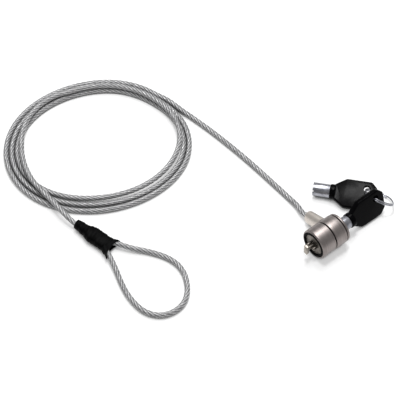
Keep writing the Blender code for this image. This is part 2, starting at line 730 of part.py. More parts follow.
def layer_height(layers):
    # The middle of the cable, lying on the floor or on so many layers of cable
    return CABLE_RADIUS + FLOOR_GAP + layers * (2 * CABLE_RADIUS + COIL_LAYER_GAP)


def lying(route):
    return [Vector((x, y, layer_height(layers))) for x, y, layers in route]


def coil_point(turns):
    # Flat loops side by side on the floor, each stepping in at its end; then a climb, and out again on top
    climb = COIL_TURNS_IN + COIL_TURNS_CLIMB
    wound = min(turns, COIL_TURNS_IN)
    steps = int(wound) + eased(wound - int(wound), COIL_STEP_FROM, COIL_STEP_TO)
    steps -= max(0.0, turns - climb)
    angle = COIL_START + 2 * pi * turns
    # The loops lie looser towards one side, and the lead flattens them where it leaves
    pitch = 2 * CABLE_RADIUS + COIL_TURN_GAP
    pitch += COIL_SPREAD * ((1 + cos(angle - COIL_SPREAD_HEADING)) / 2) ** COIL_SPREAD_POWER
    flat = COIL_FLAT * ((1 + cos(angle - COIL_START)) / 2) ** COIL_FLAT_POWER
    radius = COIL_RADIUS - pitch * steps - flat + COIL_OVAL * cos(2 * (angle - COIL_OVAL_HEADING))
    height = layer_height(eased(turns, COIL_TURNS_IN, climb))
    return Vector((COIL_CENTRE.x + radius * cos(angle), COIL_CENTRE.y + radius * sin(angle), height))


def coil_points():
    turns = COIL_TURNS_IN + COIL_TURNS_CLIMB + COIL_TURNS_OUT
    count = round(turns * COIL_POINTS)
    points = [coil_point(turns * index / count) for index in range(count + 1)]
    # Both ends run on straight and level for one cable diameter
    for end, inward in ((0, 1), (-1, -2)):
        straight = points[end] - points[inward]
        straight.z = 0
        points.insert(0 if end == 0 else len(points), points[end] + straight.normalized() * 2 * CABLE_RADIUS)
    return points


def past(end, inward, distance):
    return end + (end - inward).normalized() * distance


def lead_points(coil):
    lug_root = Vector((0, COLLAR_MIDDLE, AXIS_HEIGHT + LUG_RISE))
    route = [lug_root + lug_direction() * reach
             for reach in (LUG_REACH + CABLE_RADIUS / 2, LUG_REACH + 3 * CABLE_RADIUS)]
    route += lying(LEAD_ROUTE)
    meet = past(coil[0], coil[1], CABLE_END_GAP)
    route += [past(meet, coil[0], 2 * CABLE_RADIUS), meet]
    start = lug_root + lug_direction() * (LUG_REACH - LUG_BORE_DEPTH + SEAT_GAP)
    points = smooth_points(route[:-1], ROUTE_STEP)
    return [start] + points + [meet]


def sleeve_frame():
    # X along the sleeve, Y across towards the straight leg, Z up
    height = CABLE_RADIUS + FIT_GAP + CRIMP_WALL + FIT_GAP + SLEEVE_SKIN + FLOOR_GAP
    return Matrix.Translation((*SLEEVE_START, height)) @ Matrix.Rotation(SLEEVE_HEADING, 4, "Z")


def in_sleeve(along, across):
    return sleeve_frame() @ Vector((along, across, 0))


def tail_points(coil):
    meet = past(coil[-1], coil[-2], CABLE_END_GAP)
    route = [past(meet, coil[-1], 2 * CABLE_RADIUS)] + lying(TAIL_ROUTE)
    route += [in_sleeve(0, 0), in_sleeve(2 * CABLE_RADIUS, 0)]
    points = smooth_points(route, ROUTE_STEP)
    return [meet] + points + [in_sleeve(CRIMP_START + CRIMP_LENGTH / 2 - CABLE_END_GAP, 0)]


def loop_points():
    straight = CRIMP_START + CRIMP_LENGTH + CABLE_RADIUS / 2
    far = SLEEVE_LENGTH - CABLE_RADIUS
    route = [in_sleeve(straight, 0), in_sleeve(straight + 2 * CABLE_RADIUS, -LEG_BEND),
             in_sleeve(far, LEG_BEND)]
    route += lying(LOOP_ROUTE)
    route += [in_sleeve(far, -CRIMP_SPACING - SLEEVE_SPREAD),
              in_sleeve((straight + far) / 2, -CRIMP_SPACING - SLEEVE_SPREAD / 3),
              in_sleeve(straight, -CRIMP_SPACING)]
    start = in_sleeve(CRIMP_START + CRIMP_LENGTH / 2 + CABLE_END_GAP, 0)
    end = in_sleeve(CRIMP_START + CABLE_RADIUS, -CRIMP_SPACING)
    return [start] + smooth_points(route, LOOP_STEP) + [end]


def stadium(shape, along, top, bottom, half, corners=6):
    # One cross-section of the sleeve: flat above and below, with round sides
    loop = []
    for centre, first in ((top - half, -pi / 2), (bottom + half, pi / 2)):
        for index in range(corners + 1):
            angle = first + pi * index / corners
            loop.append(shape.verts.new((along, centre + half * cos(angle), half * sin(angle))))
    return loop


def lofted(stations):
    shape = bmesh.new()
    loops = [stadium(shape, *station) for station in stations]
    for first, second in zip(loops, loops[1:]):
        for index in range(len(first)):
            after = (index + 1) % len(first)
            shape.faces.new((first[index], first[after], second[after], second[index]))
    shape.faces.new(loops[0])
    shape.faces.new(loops[-1])
    return mesh_from(shape)


def crimp_half():
    return CABLE_RADIUS + FIT_GAP + CRIMP_WALL


def loop_ferrule():
    half = crimp_half()
    mesh = lofted([(CRIMP_START, half, -CRIMP_SPACING - half, half),
                   (CRIMP_START + CRIMP_LENGTH, half, -CRIMP_SPACING - half, half)])
    for across in (0, -CRIMP_SPACING):
        bore = rod(CABLE_RADIUS + FIT_GAP, 0, SLEEVE_LENGTH, FINE_STEPS)
        mesh = carve(mesh, placed(bore, along_axis(Vector((0, across, 0)), Vector((1, 0, 0)))))
    return placed(mesh, sleeve_frame())


def loop_sleeve(tail, loop):
    skin = crimp_half() + FIT_GAP + SLEEVE_SKIN
    slim = CABLE_RADIUS + FIT_GAP + SLEEVE_SKIN
    mean = (slim + skin) / 2
    crimp_end = CRIMP_START + CRIMP_LENGTH
    wide = -CRIMP_SPACING - skin
    open_end = -CRIMP_SPACING - SLEEVE_SPREAD - SLEEVE_FLARE - slim
    mesh = lofted([(0, slim, -slim, slim), (CRIMP_START / 2, slim, -slim - SLEEVE_FLARE, mean),
                   (CRIMP_START - SLEEVE_SKIN, skin, wide, skin), (crimp_end + SLEEVE_SKIN, skin, wide, skin),
                   ((crimp_end + SLEEVE_LENGTH) / 2, slim, (wide + open_end) / 2, mean),
                   (SLEEVE_LENGTH, slim + LEG_BEND, open_end, slim)])
    pocket_half = crimp_half() + FIT_GAP
    pocket = lofted([(CRIMP_START - FIT_GAP, pocket_half, -CRIMP_SPACING - pocket_half, pocket_half),
                     (crimp_end + FIT_GAP, pocket_half, -CRIMP_SPACING - pocket_half, pocket_half)])
    mesh = carve(mesh, pocket)
    mesh = placed(mesh, sleeve_frame())
    leg = SLEEVE_LEG_POINTS
    for points in (tail[-leg:], loop[:leg], loop[-leg:]):
        mesh = carve(mesh, tube_mesh(points, CABLE_RADIUS + FIT_GAP, 4))
    return mesh


# Assembly

def rest_box(items):
    seen = bpy.context.evaluated_depsgraph_get()
    corners = []
    for item in items:
        live = item.evaluated_get(seen)
        mesh = live.to_mesh()
        corners += [live.matrix_world @ vert.co for vert in mesh.vertices]
        live.to_mesh_clear()
    low = Vector([min(corner[axis] for corner in corners) for axis in range(3)])
    high = Vector([max(corner[axis] for corner in corners) for axis in range(3)])
    return low, high


def main():
    clear_scene()
    nickel = finish("satin_nickel", (0.62, 0.58, 0.55), 0.32, 1.0)
    rubber = finish("black_rubber", (0.015, 0.015, 0.015), 0.75, 0.0)
    dark = finish("dark_washer", (0.03, 0.028, 0.026), 0.6, 0.0)
    steel = finish("bright_steel", (0.70, 0.70, 0.71), 0.22, 1.0)
    brass = finish("pin_brass", (0.72, 0.52, 0.22), 0.35, 1.0)
    zinc = finish("cast_zinc", (0.55, 0.54, 0.52), 0.45, 1.0)
    plastic = finish("black_plastic", (0.012, 0.012, 0.013), 0.38, 0.0)
    rope = finish("coated_rope", (0.58, 0.58, 0.58), 0.30, 0.4)
    shrink = finish("shrink_sleeve", (0.01, 0.01, 0.01), 0.65, 0.0)
    crimped = finish("crimp_aluminium", (0.70, 0.71, 0.72), 0.40, 1.0)

    frame = empty("lock_frame")
    collar = empty("collar_axis", frame, Matrix.Translation((0, 0, AXIS_HEIGHT)))
    head = empty("lock_axis", frame, lock_place())
    rigid = []

    def add(name, data, material, parent):
        rigid.append(node(name, data, material, parent))
        return rigid[-1]

    # Cable side of the swivel
    add("swivel_collar", swivel_collar(), nickel, collar)
    add("cable_ferrule", cable_ferrule(), crimped, collar)

    # Lock body
    add("front_housing", front_housing(), nickel, head)
    add("front_ring", front_ring(), rubber, head)
    add("front_plate", front_plate(), zinc, head)
    add("core_sleeve", core_sleeve(), zinc, head)
    add("housing_pin", dowel(DOWEL_RADIUS, SLEEVE_BORE + FIT_GAP, HEAD_RADIUS - EDGE_BREAK), steel, head)
    add("front_washer", washer(HOUSING_LENGTH, COLLAR_FRONT, HEAD_RADIUS - WASHER_RECESS), dark, head)
    add("rear_washer", washer(COLLAR_REAR, REAR_COLLAR_FRONT, REAR_COLLAR_RADIUS - WASHER_RECESS), dark, head)
    add("rear_collar", rear_collar(), nickel, head)
    add("retaining_ring", snap_ring(), steel, head)
    add("stator", stator(), brass, head)
    locating = stator_pin(STATOR_PIN_RADIUS, ROTOR_RADIUS - PIN_RADIUS, SLEEVE_RADIUS - FACE_GAP)
    add("stator_pin", locating, steel, head)

    # Spindle, rotor and the pin stacks
    add("lock_spindle", lock_spindle(), steel, head)
    add("rotor", rotor(), brass, head)
    for index, depth in enumerate(KEY_CUTS):
        number = index + 1
        turn = pin_turn(index)
        add(f"key_pin_{number}", placed(key_pin(depth), turn), brass, head)
        add(f"driver_pin_{number}", placed(driver_pin(), turn), brass, head)
        add(f"pin_spring_{number}", placed(pin_spring(), turn), steel, head)

    # Key in the lock
    key = empty("key_axis", head, Matrix.Translation((0, KEY_TIP, 0)))
    barrel, bow = key_barrel(), key_head()
    add("key_barrel", barrel, steel, key)
    add("key_head", bow, plastic, key)

    # Split ring and spare key: each swings about the X axis of its own empty, square to a bow's hole
    key_place = lock_place() @ Matrix.Translation((0, KEY_TIP, 0))
    first = key_place @ (hole_place() - Vector((0, 0, RING_DROP)))
    second = spare_frame() @ hole_place()
    ring_at = ring_frame(first, second)
    ring_place = key_place @ Matrix.Translation(hole_place())
    spare_place = spare_frame() @ Matrix.Translation(hole_place())
    ring_hinge = empty("ring_hinge", frame, ring_place)
    spare_hinge = empty("spare_hinge", frame, spare_place)
    opening = pi + atan2(*((ring_at.inverted() @ second).yx)) / 2
    ring = [ring_place.inverted() @ ring_at @ point for point in ring_points(opening)]
    add("split_ring", tube("split_ring", ring, RING_WIRE, 1), steel, ring_hinge)
    to_spare = Matrix.Translation(-hole_place())
    add("spare_key_barrel", placed(barrel.copy(), to_spare), steel, spare_hinge)
    add("spare_key_head", placed(bow.copy(), to_spare), plastic, spare_hinge)

    # Cable, its crimp and its sleeve
    coil = coil_points()
    lead = lead_points(coil)
    tail = tail_points(coil)
    loop = loop_points()
    node("cable_lead", tube("cable_lead", lead, CABLE_RADIUS, 2), rope, frame)
    node("cable_coil", tube("cable_coil", coil, CABLE_RADIUS, 1), rope, frame)
    node("cable_tail", tube("cable_tail", tail, CABLE_RADIUS, 2), rope, frame)
    node("cable_loop", tube("cable_loop", loop, CABLE_RADIUS, 2), rope, frame)
    node("loop_ferrule", loop_ferrule(), crimped, frame)
    node("loop_sleeve", loop_sleeve(tail, loop), shrink, frame)
    print(f"coil: least gap to itself {least_gap(coil, CABLE_RADIUS, COIL_POINTS // 2) * 1000:.2f} mm")
    print(f"split ring: least gap to itself {least_gap(ring, RING_WIRE, COIL_POINTS // 2) * 1000:.2f} mm")

    # The origin is under the middle of the lock, its keys and their ring
    low, high = rest_box(rigid)
    frame.location = (-(low.x + high.x) / 2, -(low.y + high.y) / 2, 0)


main()
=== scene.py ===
import json
from math import cos, pi, radians, sin, sqrt

import bmesh
import bpy
from mathutils import Matrix, Vector


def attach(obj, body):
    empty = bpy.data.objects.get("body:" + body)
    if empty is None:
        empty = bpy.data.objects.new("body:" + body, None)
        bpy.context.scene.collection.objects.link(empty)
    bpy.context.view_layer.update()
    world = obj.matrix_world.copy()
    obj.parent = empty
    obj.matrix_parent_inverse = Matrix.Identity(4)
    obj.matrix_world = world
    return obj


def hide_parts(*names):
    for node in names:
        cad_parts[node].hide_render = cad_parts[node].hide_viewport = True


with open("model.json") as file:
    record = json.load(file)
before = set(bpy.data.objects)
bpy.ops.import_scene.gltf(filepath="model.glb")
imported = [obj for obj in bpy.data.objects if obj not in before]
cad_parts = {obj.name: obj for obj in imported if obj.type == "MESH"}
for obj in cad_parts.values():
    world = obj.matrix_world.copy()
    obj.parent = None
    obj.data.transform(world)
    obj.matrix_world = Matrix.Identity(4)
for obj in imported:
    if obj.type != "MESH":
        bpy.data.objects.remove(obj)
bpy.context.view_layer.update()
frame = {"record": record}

joints = {item["name"]: item for item in frame["record"]["behaviour"]["joints"]}
swivelAt = Vector(joints["body_swivel"]["pos_m"])  # front rim of the lock, on its axis
floorAt = Vector((swivelAt.x, swivelAt.y, 0))  # the same spot on the floor
keyLean = radians(18)  # of the lock body and the key in it
collarPlace = Matrix.Translation(swivelAt)
lockPlace = collarPlace @ Matrix.Rotation(-keyLean, 4, "Y")
print("frame loaded")


# camera, as the photo was taken
view = {"turn": radians(50.6), "height": radians(51.2), "away": 1.051, "field": radians(14), "near": 0.01,
        "aim": Vector((-0.0785, -0.0269, -0.0100)), "raise": 0.00035}
up = Vector((0, 0, 1))
side = Vector((cos(view["turn"]), sin(view["turn"]), 0))
ahead = Vector((-sin(view["turn"]), cos(view["turn"]), 0))
sight = ahead * cos(view["height"]) - up * sin(view["height"])
upward = ahead * sin(view["height"]) + up * cos(view["height"])
lens = bpy.data.cameras.new("camera")
lens.sensor_fit = "HORIZONTAL"
lens.angle = view["field"]
lens.clip_start = view["near"]
camera = bpy.data.objects.new("camera", lens)
cameraTurn = Matrix((side, upward, -sight)).transposed().to_4x4()
target = swivelAt + view["aim"] + upward * view["raise"]
camera.matrix_world = Matrix.Translation(target - sight * view["away"]) @ cameraTurn
bpy.context.collection.objects.link(camera)
bpy.context.scene.camera = camera
print("camera set")


class Wire:
    # a shader socket that can be used in sums
    def __init__(self, tree, socket=None):
        self.tree = tree
        self.socket = socket

    def node(self, kind, settings=None, inputs=None, output=0):
        made = self.tree.nodes.new("ShaderNode" + kind)
        for name, value in (settings or {}).items():
            if name == "stops":
                while len(made.color_ramp.elements) < len(value):
                    made.color_ramp.elements.new(0.5)
                for stop, (place, shade) in zip(made.color_ramp.elements, value):
                    stop.position = place
                    stop.color = (shade, shade, shade, 1)
            else:
                setattr(made, name, value)
        for name, value in (inputs or {}).items():
            if isinstance(value, Wire):
                self.tree.links.new(value.socket, made.inputs[name])
            else:
                made.inputs[name].default_value = value
        return Wire(self.tree, made.outputs[output])

    def maths(self, operation, first, second=0.0):
        return self.node("Math", {"operation": operation}, {0: first, 1: second})

    def __add__(self, other):
        return self.maths("ADD", self, other)

    def __radd__(self, other):
        return self.maths("ADD", other, self)

    def __sub__(self, other):
        return self.maths("SUBTRACT", self, other)

    def __rsub__(self, other):
        return self.maths("SUBTRACT", other, self)

    def __mul__(self, other):
        return self.maths("MULTIPLY", self, other)

    def __rmul__(self, other):
        return self.maths("MULTIPLY", other, self)

    def between(self, low, high):
        # 0 below low, 1 above high, smooth between
        return self.node("MapRange", {"interpolation_type": "SMOOTHSTEP"},
                         {"Value": self, "From Min": low, "From Max": high, "To Min": 0.0, "To Max": 1.0})

    def noise(self, where, scale, detail=3.0, roughness=0.5):
        return self.node("TexNoise", {}, {"Vector": where, "Scale": scale, "Detail": detail,
                                          "Roughness": roughness})

    def vector(self, operation, where, amount):
        return self.node("VectorMath", {"operation": operation}, {0: where, 1: amount})

    def split(self, where, axis):
        return self.node("SeparateXYZ", {}, {0: where}, axis)

    def blendTo(self, first, second, share):
        colours = [item if isinstance(item, Wire) else (*item, 1) for item in (first, second)]
        return self.node("Mix", {"data_type": "RGBA"}, {0: share, 6: colours[0], 7: colours[1]}, 2)

    def bump(self, height, distance, strength):
        return self.node("Bump", {}, {"Height": height, "Distance": distance, "Strength": strength})


class Finish:
    # a material with its shader, and the Object coordinates that its patterns read
    def __init__(self, name, **fixed):
        self.material = bpy.data.materials.new(name)
        self.material.use_nodes = True
        self.tree = self.material.node_tree
        self.shader = self.tree.nodes["Principled BSDF"]
        self.wire = Wire(self.tree)
        self.place = self.wire.node("TexCoord", {}, {}, "Object")
        for socket, value in fixed.items():
            self.shader.inputs[socket.replace("_", " ")].default_value = value

    def feed(self, **links):
        for socket, wire in links.items():
            self.tree.links.new(wire.socket, self.shader.inputs[socket.replace("_", " ")])


# finishes: scales are per metre, reliefs in metres
nickel = {"light": (0.33, 0.296, 0.286), "dark": (0.235, 0.207, 0.198), "rough": 0.42,
          "brush": 2600.0, "brushRound": 30.0, "brushTone": (0.32, 0.68), "brushRough": 0.22,
          "smudge": 160.0, "smudgeTone": (0.52, 0.80), "smudgeShare": 0.55, "smudgeDark": 0.80,
          "smudgeRough": 0.12, "relief": 0.00003, "reliefShare": 0.6,
          "castFrom": 0.0103, "castBlend": 0.0006, "castGrain": 2600.0, "castRough": 0.46, "grainRough": 0.2,
          "castDark": (0.60, 0.55, 0.50), "castLight": (0.72, 0.67, 0.62)}


def makeNickel(look):
    # satin plate, brushed round the lock's own axis; what stands out past castFrom is plain cast metal
    finish = Finish("satinNickel", Metallic=1.0)
    wire = finish.wire
    here = wire.vector("SUBTRACT", finish.place, tuple(swivelAt))
    x, y, z = (wire.split(here, axis) for axis in range(3))
    out = wire.maths("SQRT", x * x + z * z)
    lines = wire.node("CombineXYZ", {}, {0: x * look["brushRound"], 1: (y + out) * look["brush"],
                                         2: z * look["brushRound"]})
    brush = wire.noise(lines, 1.0, 4.0, 0.65)
    smudge = wire.noise(here, look["smudge"], 3.0, 0.55)
    grain = wire.noise(here, look["castGrain"], 3.0, 0.6)
    plate = wire.blendTo(look["dark"], look["light"], brush.between(*look["brushTone"]))
    plate = wire.blendTo(plate, [part * look["smudgeDark"] for part in look["dark"]],
                         smudge.between(*look["smudgeTone"]) * look["smudgeShare"])
    plateRough = look["rough"] + (brush - 0.5) * look["brushRough"] + (smudge - 0.5) * look["smudgeRough"]
    casting = wire.blendTo(look["castDark"], look["castLight"], grain)
    castRough = look["castRough"] + (grain - 0.5) * look["grainRough"]
    cast = out.between(look["castFrom"], look["castFrom"] + look["castBlend"])
    relief = brush * (1 - cast) + grain * cast
    finish.feed(Base_Color=wire.blendTo(plate, casting, cast),
                Roughness=plateRough * (1 - cast) + castRough * cast,
                Normal=wire.bump(relief, look["relief"], look["reliefShare"]))
    return finish.material


steel = {"tone": (0.30, 0.60), "finer": 22, "stretch": (1, 0.12, 1),
         "smudgeRough": 0.14, "scratchRough": 0.10, "relief": 0.00001, "reliefShare": 0.4}
metals = {
    "bright_steel": {"name": "brightSteel", "light": (0.40, 0.405, 0.44), "dark": (0.21, 0.215, 0.24),
                     "rough": 0.33, "smudge": 240.0},
    "cast_zinc": {"name": "castZinc", "light": (0.21, 0.19, 0.168), "dark": (0.075, 0.070, 0.064),
                  "rough": 0.42, "smudge": 420.0},
    "satin_spindle": {"name": "satinSpindle", "light": (0.36, 0.328, 0.288), "dark": (0.19, 0.174, 0.154),
                      "rough": 0.36, "smudge": 520.0},
    "pin_brass": {"name": "pinBrass", "light": (0.78, 0.58, 0.26), "dark": (0.60, 0.42, 0.17),
                  "rough": 0.30, "smudge": 500.0},
    "crimp_aluminium": {"name": "crimpAluminium", "light": (0.74, 0.75, 0.76), "dark": (0.55, 0.56, 0.57),
                        "rough": 0.40, "smudge": 320.0},
}


def makeMetal(look):
    # smudged bare metal with short scratches
    finish = Finish(look["name"], Metallic=1.0)
    wire = finish.wire
    smudge = wire.noise(finish.place, look["smudge"], 4.0, 0.6)
    stretched = wire.vector("MULTIPLY", finish.place, steel["stretch"])
    scratch = wire.noise(stretched, look["smudge"] * steel["finer"], 3.0, 0.6)
    roughness = look["rough"] + (smudge - 0.5) * steel["smudgeRough"]
    roughness = roughness + (scratch - 0.5) * steel["scratchRough"]
    finish.feed(Base_Color=wire.blendTo(look["dark"], look["light"], smudge.between(*steel["tone"])),
                Roughness=roughness, Normal=wire.bump(scratch, steel["relief"], steel["reliefShare"]))
    return finish.material


plastic = {"tone": (0.45, 0.75), "coarser": 22, "grainRough": 0.16, "wornRough": 0.18, "reliefShare": 0.5}
blacks = {
    "black_plastic": {"name": "blackPlastic", "light": (0.0034, 0.0032, 0.0039),
                      "dark": (0.0016, 0.0015, 0.0019), "rough": 0.20, "grain": 3600.0, "relief": 0.00002,
                      "shine": 0.03},
    "black_rubber": {"name": "blackRubber", "light": (0.010, 0.010, 0.009), "dark": (0.005, 0.005, 0.005),
                     "rough": 0.66, "grain": 4200.0, "relief": 0.00006, "shine": 0.045},
    "dark_washer": {"name": "darkWasher", "light": (0.006, 0.005, 0.005), "dark": (0.003, 0.003, 0.003),
                    "rough": 0.60, "grain": 3800.0, "relief": 0.00004, "shine": 0.05},
}


def makeBlack(look):
    # moulded or rubbery black with a fine grain and a few rubbed spots
    finish = Finish(look["name"], Metallic=0.0, Specular_IOR_Level=look["shine"])
    wire = finish.wire
    grain = wire.noise(finish.place, look["grain"], 3.0, 0.6)
    worn = wire.noise(finish.place, look["grain"] / plastic["coarser"], 4.0, 0.6)
    roughness = look["rough"] + (grain - 0.5) * plastic["grainRough"] + (worn - 0.5) * plastic["wornRough"]
    finish.feed(Base_Color=wire.blendTo(look["dark"], look["light"], worn.between(*plastic["tone"])),
                Roughness=roughness, Normal=wire.bump(grain, look["relief"], plastic["reliefShare"]))
    return finish.material


# the valley tone is painted shade between the strands, and the bright glints on the crowns are painted
# highlights
coat = {"metal": 0.55, "coat": 0.20, "coatRough": 0.25, "rough": 0.36, "valleyRough": 0.22, "wearRough": 0.20,
        "paintedValleyShade": (0.16, 0.16, 0.164), "crown": (0.45, 0.45, 0.455), "shadeToCrownRange": (0.05, 0.80),
        "paintedGlint": (0.90, 0.90, 0.90), "paintedGlintRidge": (0.40, 0.95), "paintedGlintNoise": 640.0, "paintedGlintRange": (0.46, 0.64),
        "paintedGlintShare": 0.7, "worn": (0.10, 0.10, 0.105), "wear": 380.0, "wearTone": (0.52, 0.74),
        "wearShare": 0.40, "relief": 0.00008, "reliefShare": 0.6}


def makeRope(laid, look):
    # laid strands under a clear coat; the map runs along the rope and round it
    finish = Finish("coatedRope", Metallic=look["metal"], Coat_Roughness=look["coatRough"],
                    Coat_Weight=look["coat"])
    wire = finish.wire
    rolled = wire.node("TexCoord", {}, {}, "UV")
    strands = float(laid["strands"])
    about = wire.split(rolled, 1) * strands
    onward = wire.split(rolled, 0) * (laid["turns"] * strands)
    ridge = wire.maths("ABSOLUTE", wire.maths("FRACT", about) * 2 - 1)  # 0 in a valley, 1 on a strand's crown
    wires = wire.maths("SINE", (about + onward) * (2 * pi * laid["wires"]))  # they run along the rope
    paintedGlintNoise = wire.noise(finish.place, look["paintedGlintNoise"], 2.0, 0.6)
    wear = wire.noise(finish.place, look["wear"], 3.0, 0.55)
    paintedGlint = ridge.between(*look["paintedGlintRidge"]) * paintedGlintNoise.between(*look["paintedGlintRange"]) * look["paintedGlintShare"]
    # painted shade: the valleys between the strands are coloured darker than the crowns
    tone = wire.blendTo(look["paintedValleyShade"], look["crown"], ridge.between(*look["shadeToCrownRange"]))
    # painted highlight: near-white glints painted on the strands' crowns in noise flecks
    tone = wire.blendTo(tone, look["paintedGlint"], paintedGlint)
    tone = wire.blendTo(tone, look["worn"], wear.between(*look["wearTone"]) * look["wearShare"])
    roughness = look["rough"] + (1 - ridge) * look["valleyRough"] + (wear - 0.5) * look["wearRough"]
    finish.feed(Base_Color=tone, Roughness=roughness,
                Normal=wire.bump(wires * ridge, look["relief"], look["reliefShare"]))
    return finish.material


shrink = {"light": (0.0045, 0.0045, 0.0047), "dark": (0.0012, 0.0012, 0.0013), "tone": (0.42, 0.75),
          "rough": 0.50, "grainRough": 0.18, "patchRough": 0.25, "shine": 0.035,
          "grain": 3000.0, "crease": 520.0, "patch": 190.0, "creaseShare": 0.8, "relief": 0.00035,
          "reliefShare": 0.6}


def makeShrink(look):
    # matt heat-shrink tube with fine creases
    finish = Finish("shrinkTube", Metallic=0.0, Specular_IOR_Level=look["shine"])
    wire = finish.wire
    grain = wire.noise(finish.place, look["grain"], 3.0, 0.6)
    crease = wire.noise(finish.place, look["crease"], 4.0, 0.62)
    patch = wire.noise(finish.place, look["patch"], 3.0, 0.5)
    roughness = look["rough"] + (grain - 0.5) * look["grainRough"] + (patch - 0.5) * look["patchRough"]
    relief = crease * look["creaseShare"] + grain * (1 - look["creaseShare"])
    finish.feed(Base_Color=wire.blendTo(look["dark"], look["light"], patch.between(*look["tone"])),
                Roughness=roughness, Normal=wire.bump(relief, look["relief"], look["reliefShare"]))
    return finish.material


finishes = {"satin_nickel": makeNickel(nickel), "shrink_sleeve": makeShrink(shrink)}
for slot, look in metals.items():
    finishes[slot] = makeMetal(look)
for slot, look in blacks.items():
    finishes[slot] = makeBlack(look)
print("finishes made")


# shape helpers
tiny = 1e-6  # points nearer than this are one


def spun(profile, steps, closed=True):
    # a profile of (radius, y) points turned about Y
    shape = bmesh.new()
    verts = [shape.verts.new((radius, y, 0)) for radius, y in profile]
    edges = [shape.edges.new(pair) for pair in zip(verts, verts[1:])]
    if closed:
        edges.append(shape.edges.new((verts[-1], verts[0])))
    bmesh.ops.spin(shape, geom=verts + edges, cent=(0, 0, 0), axis=(0, 1, 0), angle=2 * pi, steps=steps,
                   use_merge=True)
    bmesh.ops.remove_doubles(shape, verts=shape.verts, dist=tiny)
    bmesh.ops.recalc_face_normals(shape, faces=shape.faces)
    return shape


def softened(shape, width, segments=3, angle=radians(32)):
    crisp = [edge for edge in shape.edges if len(edge.link_faces) == 2 and edge.calc_face_angle() > angle]
    bmesh.ops.bevel(shape, geom=crisp, offset=width, affect="EDGES", segments=segments, profile=0.5,
                    material=-1, clamp_overlap=True)
    return shape


def makeTube(inner, outer, front, rear, edge, steps, segments=3):
    shape = spun([(inner, rear), (inner, front), (outer, front), (outer, rear)], steps)
    return softened(shape, edge, segments)


def makeRod(radius, front, rear, steps):
    return spun([(0, front), (radius, front), (radius, rear), (0, rear)], steps, closed=False)


def quarterTurn(steps):
    return [index / steps * pi / 2 for index in range(steps + 1)]


def slab(outline, thickness):
    # a flat plate in the YZ plane, centred on x = 0
    shape = bmesh.new()
    face = shape.faces.new([shape.verts.new((-thickness / 2, y, z)) for y, z in outline])
    grown = bmesh.ops.extrude_face_region(shape, geom=[face])
    moved = [item for item in grown["geom"] if isinstance(item, bmesh.types.BMVert)]
    bmesh.ops.translate(shape, vec=(thickness, 0, 0), verts=moved)
    bmesh.ops.recalc_face_normals(shape, faces=shape.faces)
    return shape


def placed(shape, matrix):
    bmesh.ops.transform(shape, matrix=matrix, verts=shape.verts)
    return shape


def toMesh(shape, name="shape"):
    mesh = bpy.data.meshes.new(name)
    shape.to_mesh(mesh)
    shape.free()
    return mesh


def combined(shape, tool, operation):
    # boolean of two shapes, through a modifier
    body = bpy.data.objects.new("body", toMesh(shape))
    cutter = bpy.data.objects.new("cutter", toMesh(tool))
    for item in (body, cutter):
        bpy.context.collection.objects.link(item)
    step = body.modifiers.new("combine", "BOOLEAN")
    step.operation = operation
    step.solver = "EXACT"
    step.object = cutter
    result = bmesh.new()
    result.from_mesh(body.evaluated_get(bpy.context.evaluated_depsgraph_get()).data)
    for item in (body, cutter):
        mesh = item.data
        bpy.data.objects.remove(item, do_unlink=True)
        bpy.data.meshes.remove(mesh)
    bmesh.ops.remove_doubles(result, verts=result.verts, dist=tiny)
    bmesh.ops.dissolve_degenerate(result, edges=result.edges, dist=tiny)
    return result


def pointedAlong(start, direction):
    # a place whose Y runs in the direction
    return Matrix.Translation(start) @ direction.to_track_quat("Y", "Z").to_matrix().to_4x4()


def dressed(name, mesh, slot, body, nodes, finish=None):
    piece = bpy.data.objects.new(name, mesh)
    piece.data.materials.append(finishes[finish or slot])
    bpy.context.collection.objects.link(piece)
    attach(piece, body)
    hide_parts(*nodes)
    return piece


def addPiece(name, shape, slot, body, place, nodes, crease=radians(35), finish=None):
    placed(shape, place)
    for face in shape.faces:
        face.smooth = True
    for edge in shape.edges:
        edge.smooth = len(edge.link_faces) != 2 or edge.calc_face_angle() < crease
    return dressed(name, toMesh(shape, name), slot, body, nodes, finish)


# the rope: out of the lug, across the floor, round the coil, over it, through the sleeve and round the loop
rope = {"radius": 0.00175, "groove": 0.00025, "bulge": 0.8, "strands": 6, "facets": 10, "lay": 0.022,
        "wires": 3, "step": 0.0016, "finePoints": 24}
lug = {"reach": 0.0225, "bore": 0.0080, "droop": radians(15), "middle": 0.01575, "root": 0.00775,
       "rise": 0.0005, "tall": 1.18}
coil = {"centre": Vector((-0.1567, -0.0493)), "radius": 0.0585, "pitch": 0.0037, "spread": 0.0013,
        "spreadHeading": radians(-50), "spreadPower": 8, "flat": 0.0018, "flatPower": 24, "oval": 0.0032,
        "ovalHeading": radians(71), "lift": 0.00398, "start": radians(98), "turnsIn": 2.5, "climb": 0.4,
        "turnsOut": 0.3, "stepFrom": 0.80, "points": 24, "bed": 0.00185}
sleeve = {"start": Vector((-0.11115, -0.1017, 0.00355)), "heading": radians(18.8), "length": 0.0315,
          "spacing": 0.00445, "spread": 0.0040, "bend": 0.0007, "crimpStart": 0.0134, "crimpLength": 0.0062}
leadRoute = [
    (-0.0340, 0.0174, 0.0025), (-0.0437, 0.0179, 0.00185), (-0.0586, 0.0180, 0.00185),
    (-0.0735, 0.0180, 0.00185), (-0.0876, 0.0177, 0.00185), (-0.1015, 0.0170, 0.00185),
    (-0.1152, 0.0160, 0.00185), (-0.1288, 0.0145, 0.00185), (-0.1430, 0.0125, 0.00185),
]
tailRoute = [
    (-0.2026, -0.0731, 0.00583), (-0.1945, -0.0837, 0.00583), (-0.1850, -0.0914, 0.00583),
    (-0.1753, -0.0972, 0.00583), (-0.1657, -0.1009, 0.00583), (-0.1554, -0.1031, 0.00583),
    (-0.1465, -0.1033, 0.00583), (-0.1379, -0.1033, 0.00583), (-0.1294, -0.1033, 0.00583),
    (-0.1233, -0.1033, 0.0056), (-0.1172, -0.1029, 0.0048),
]
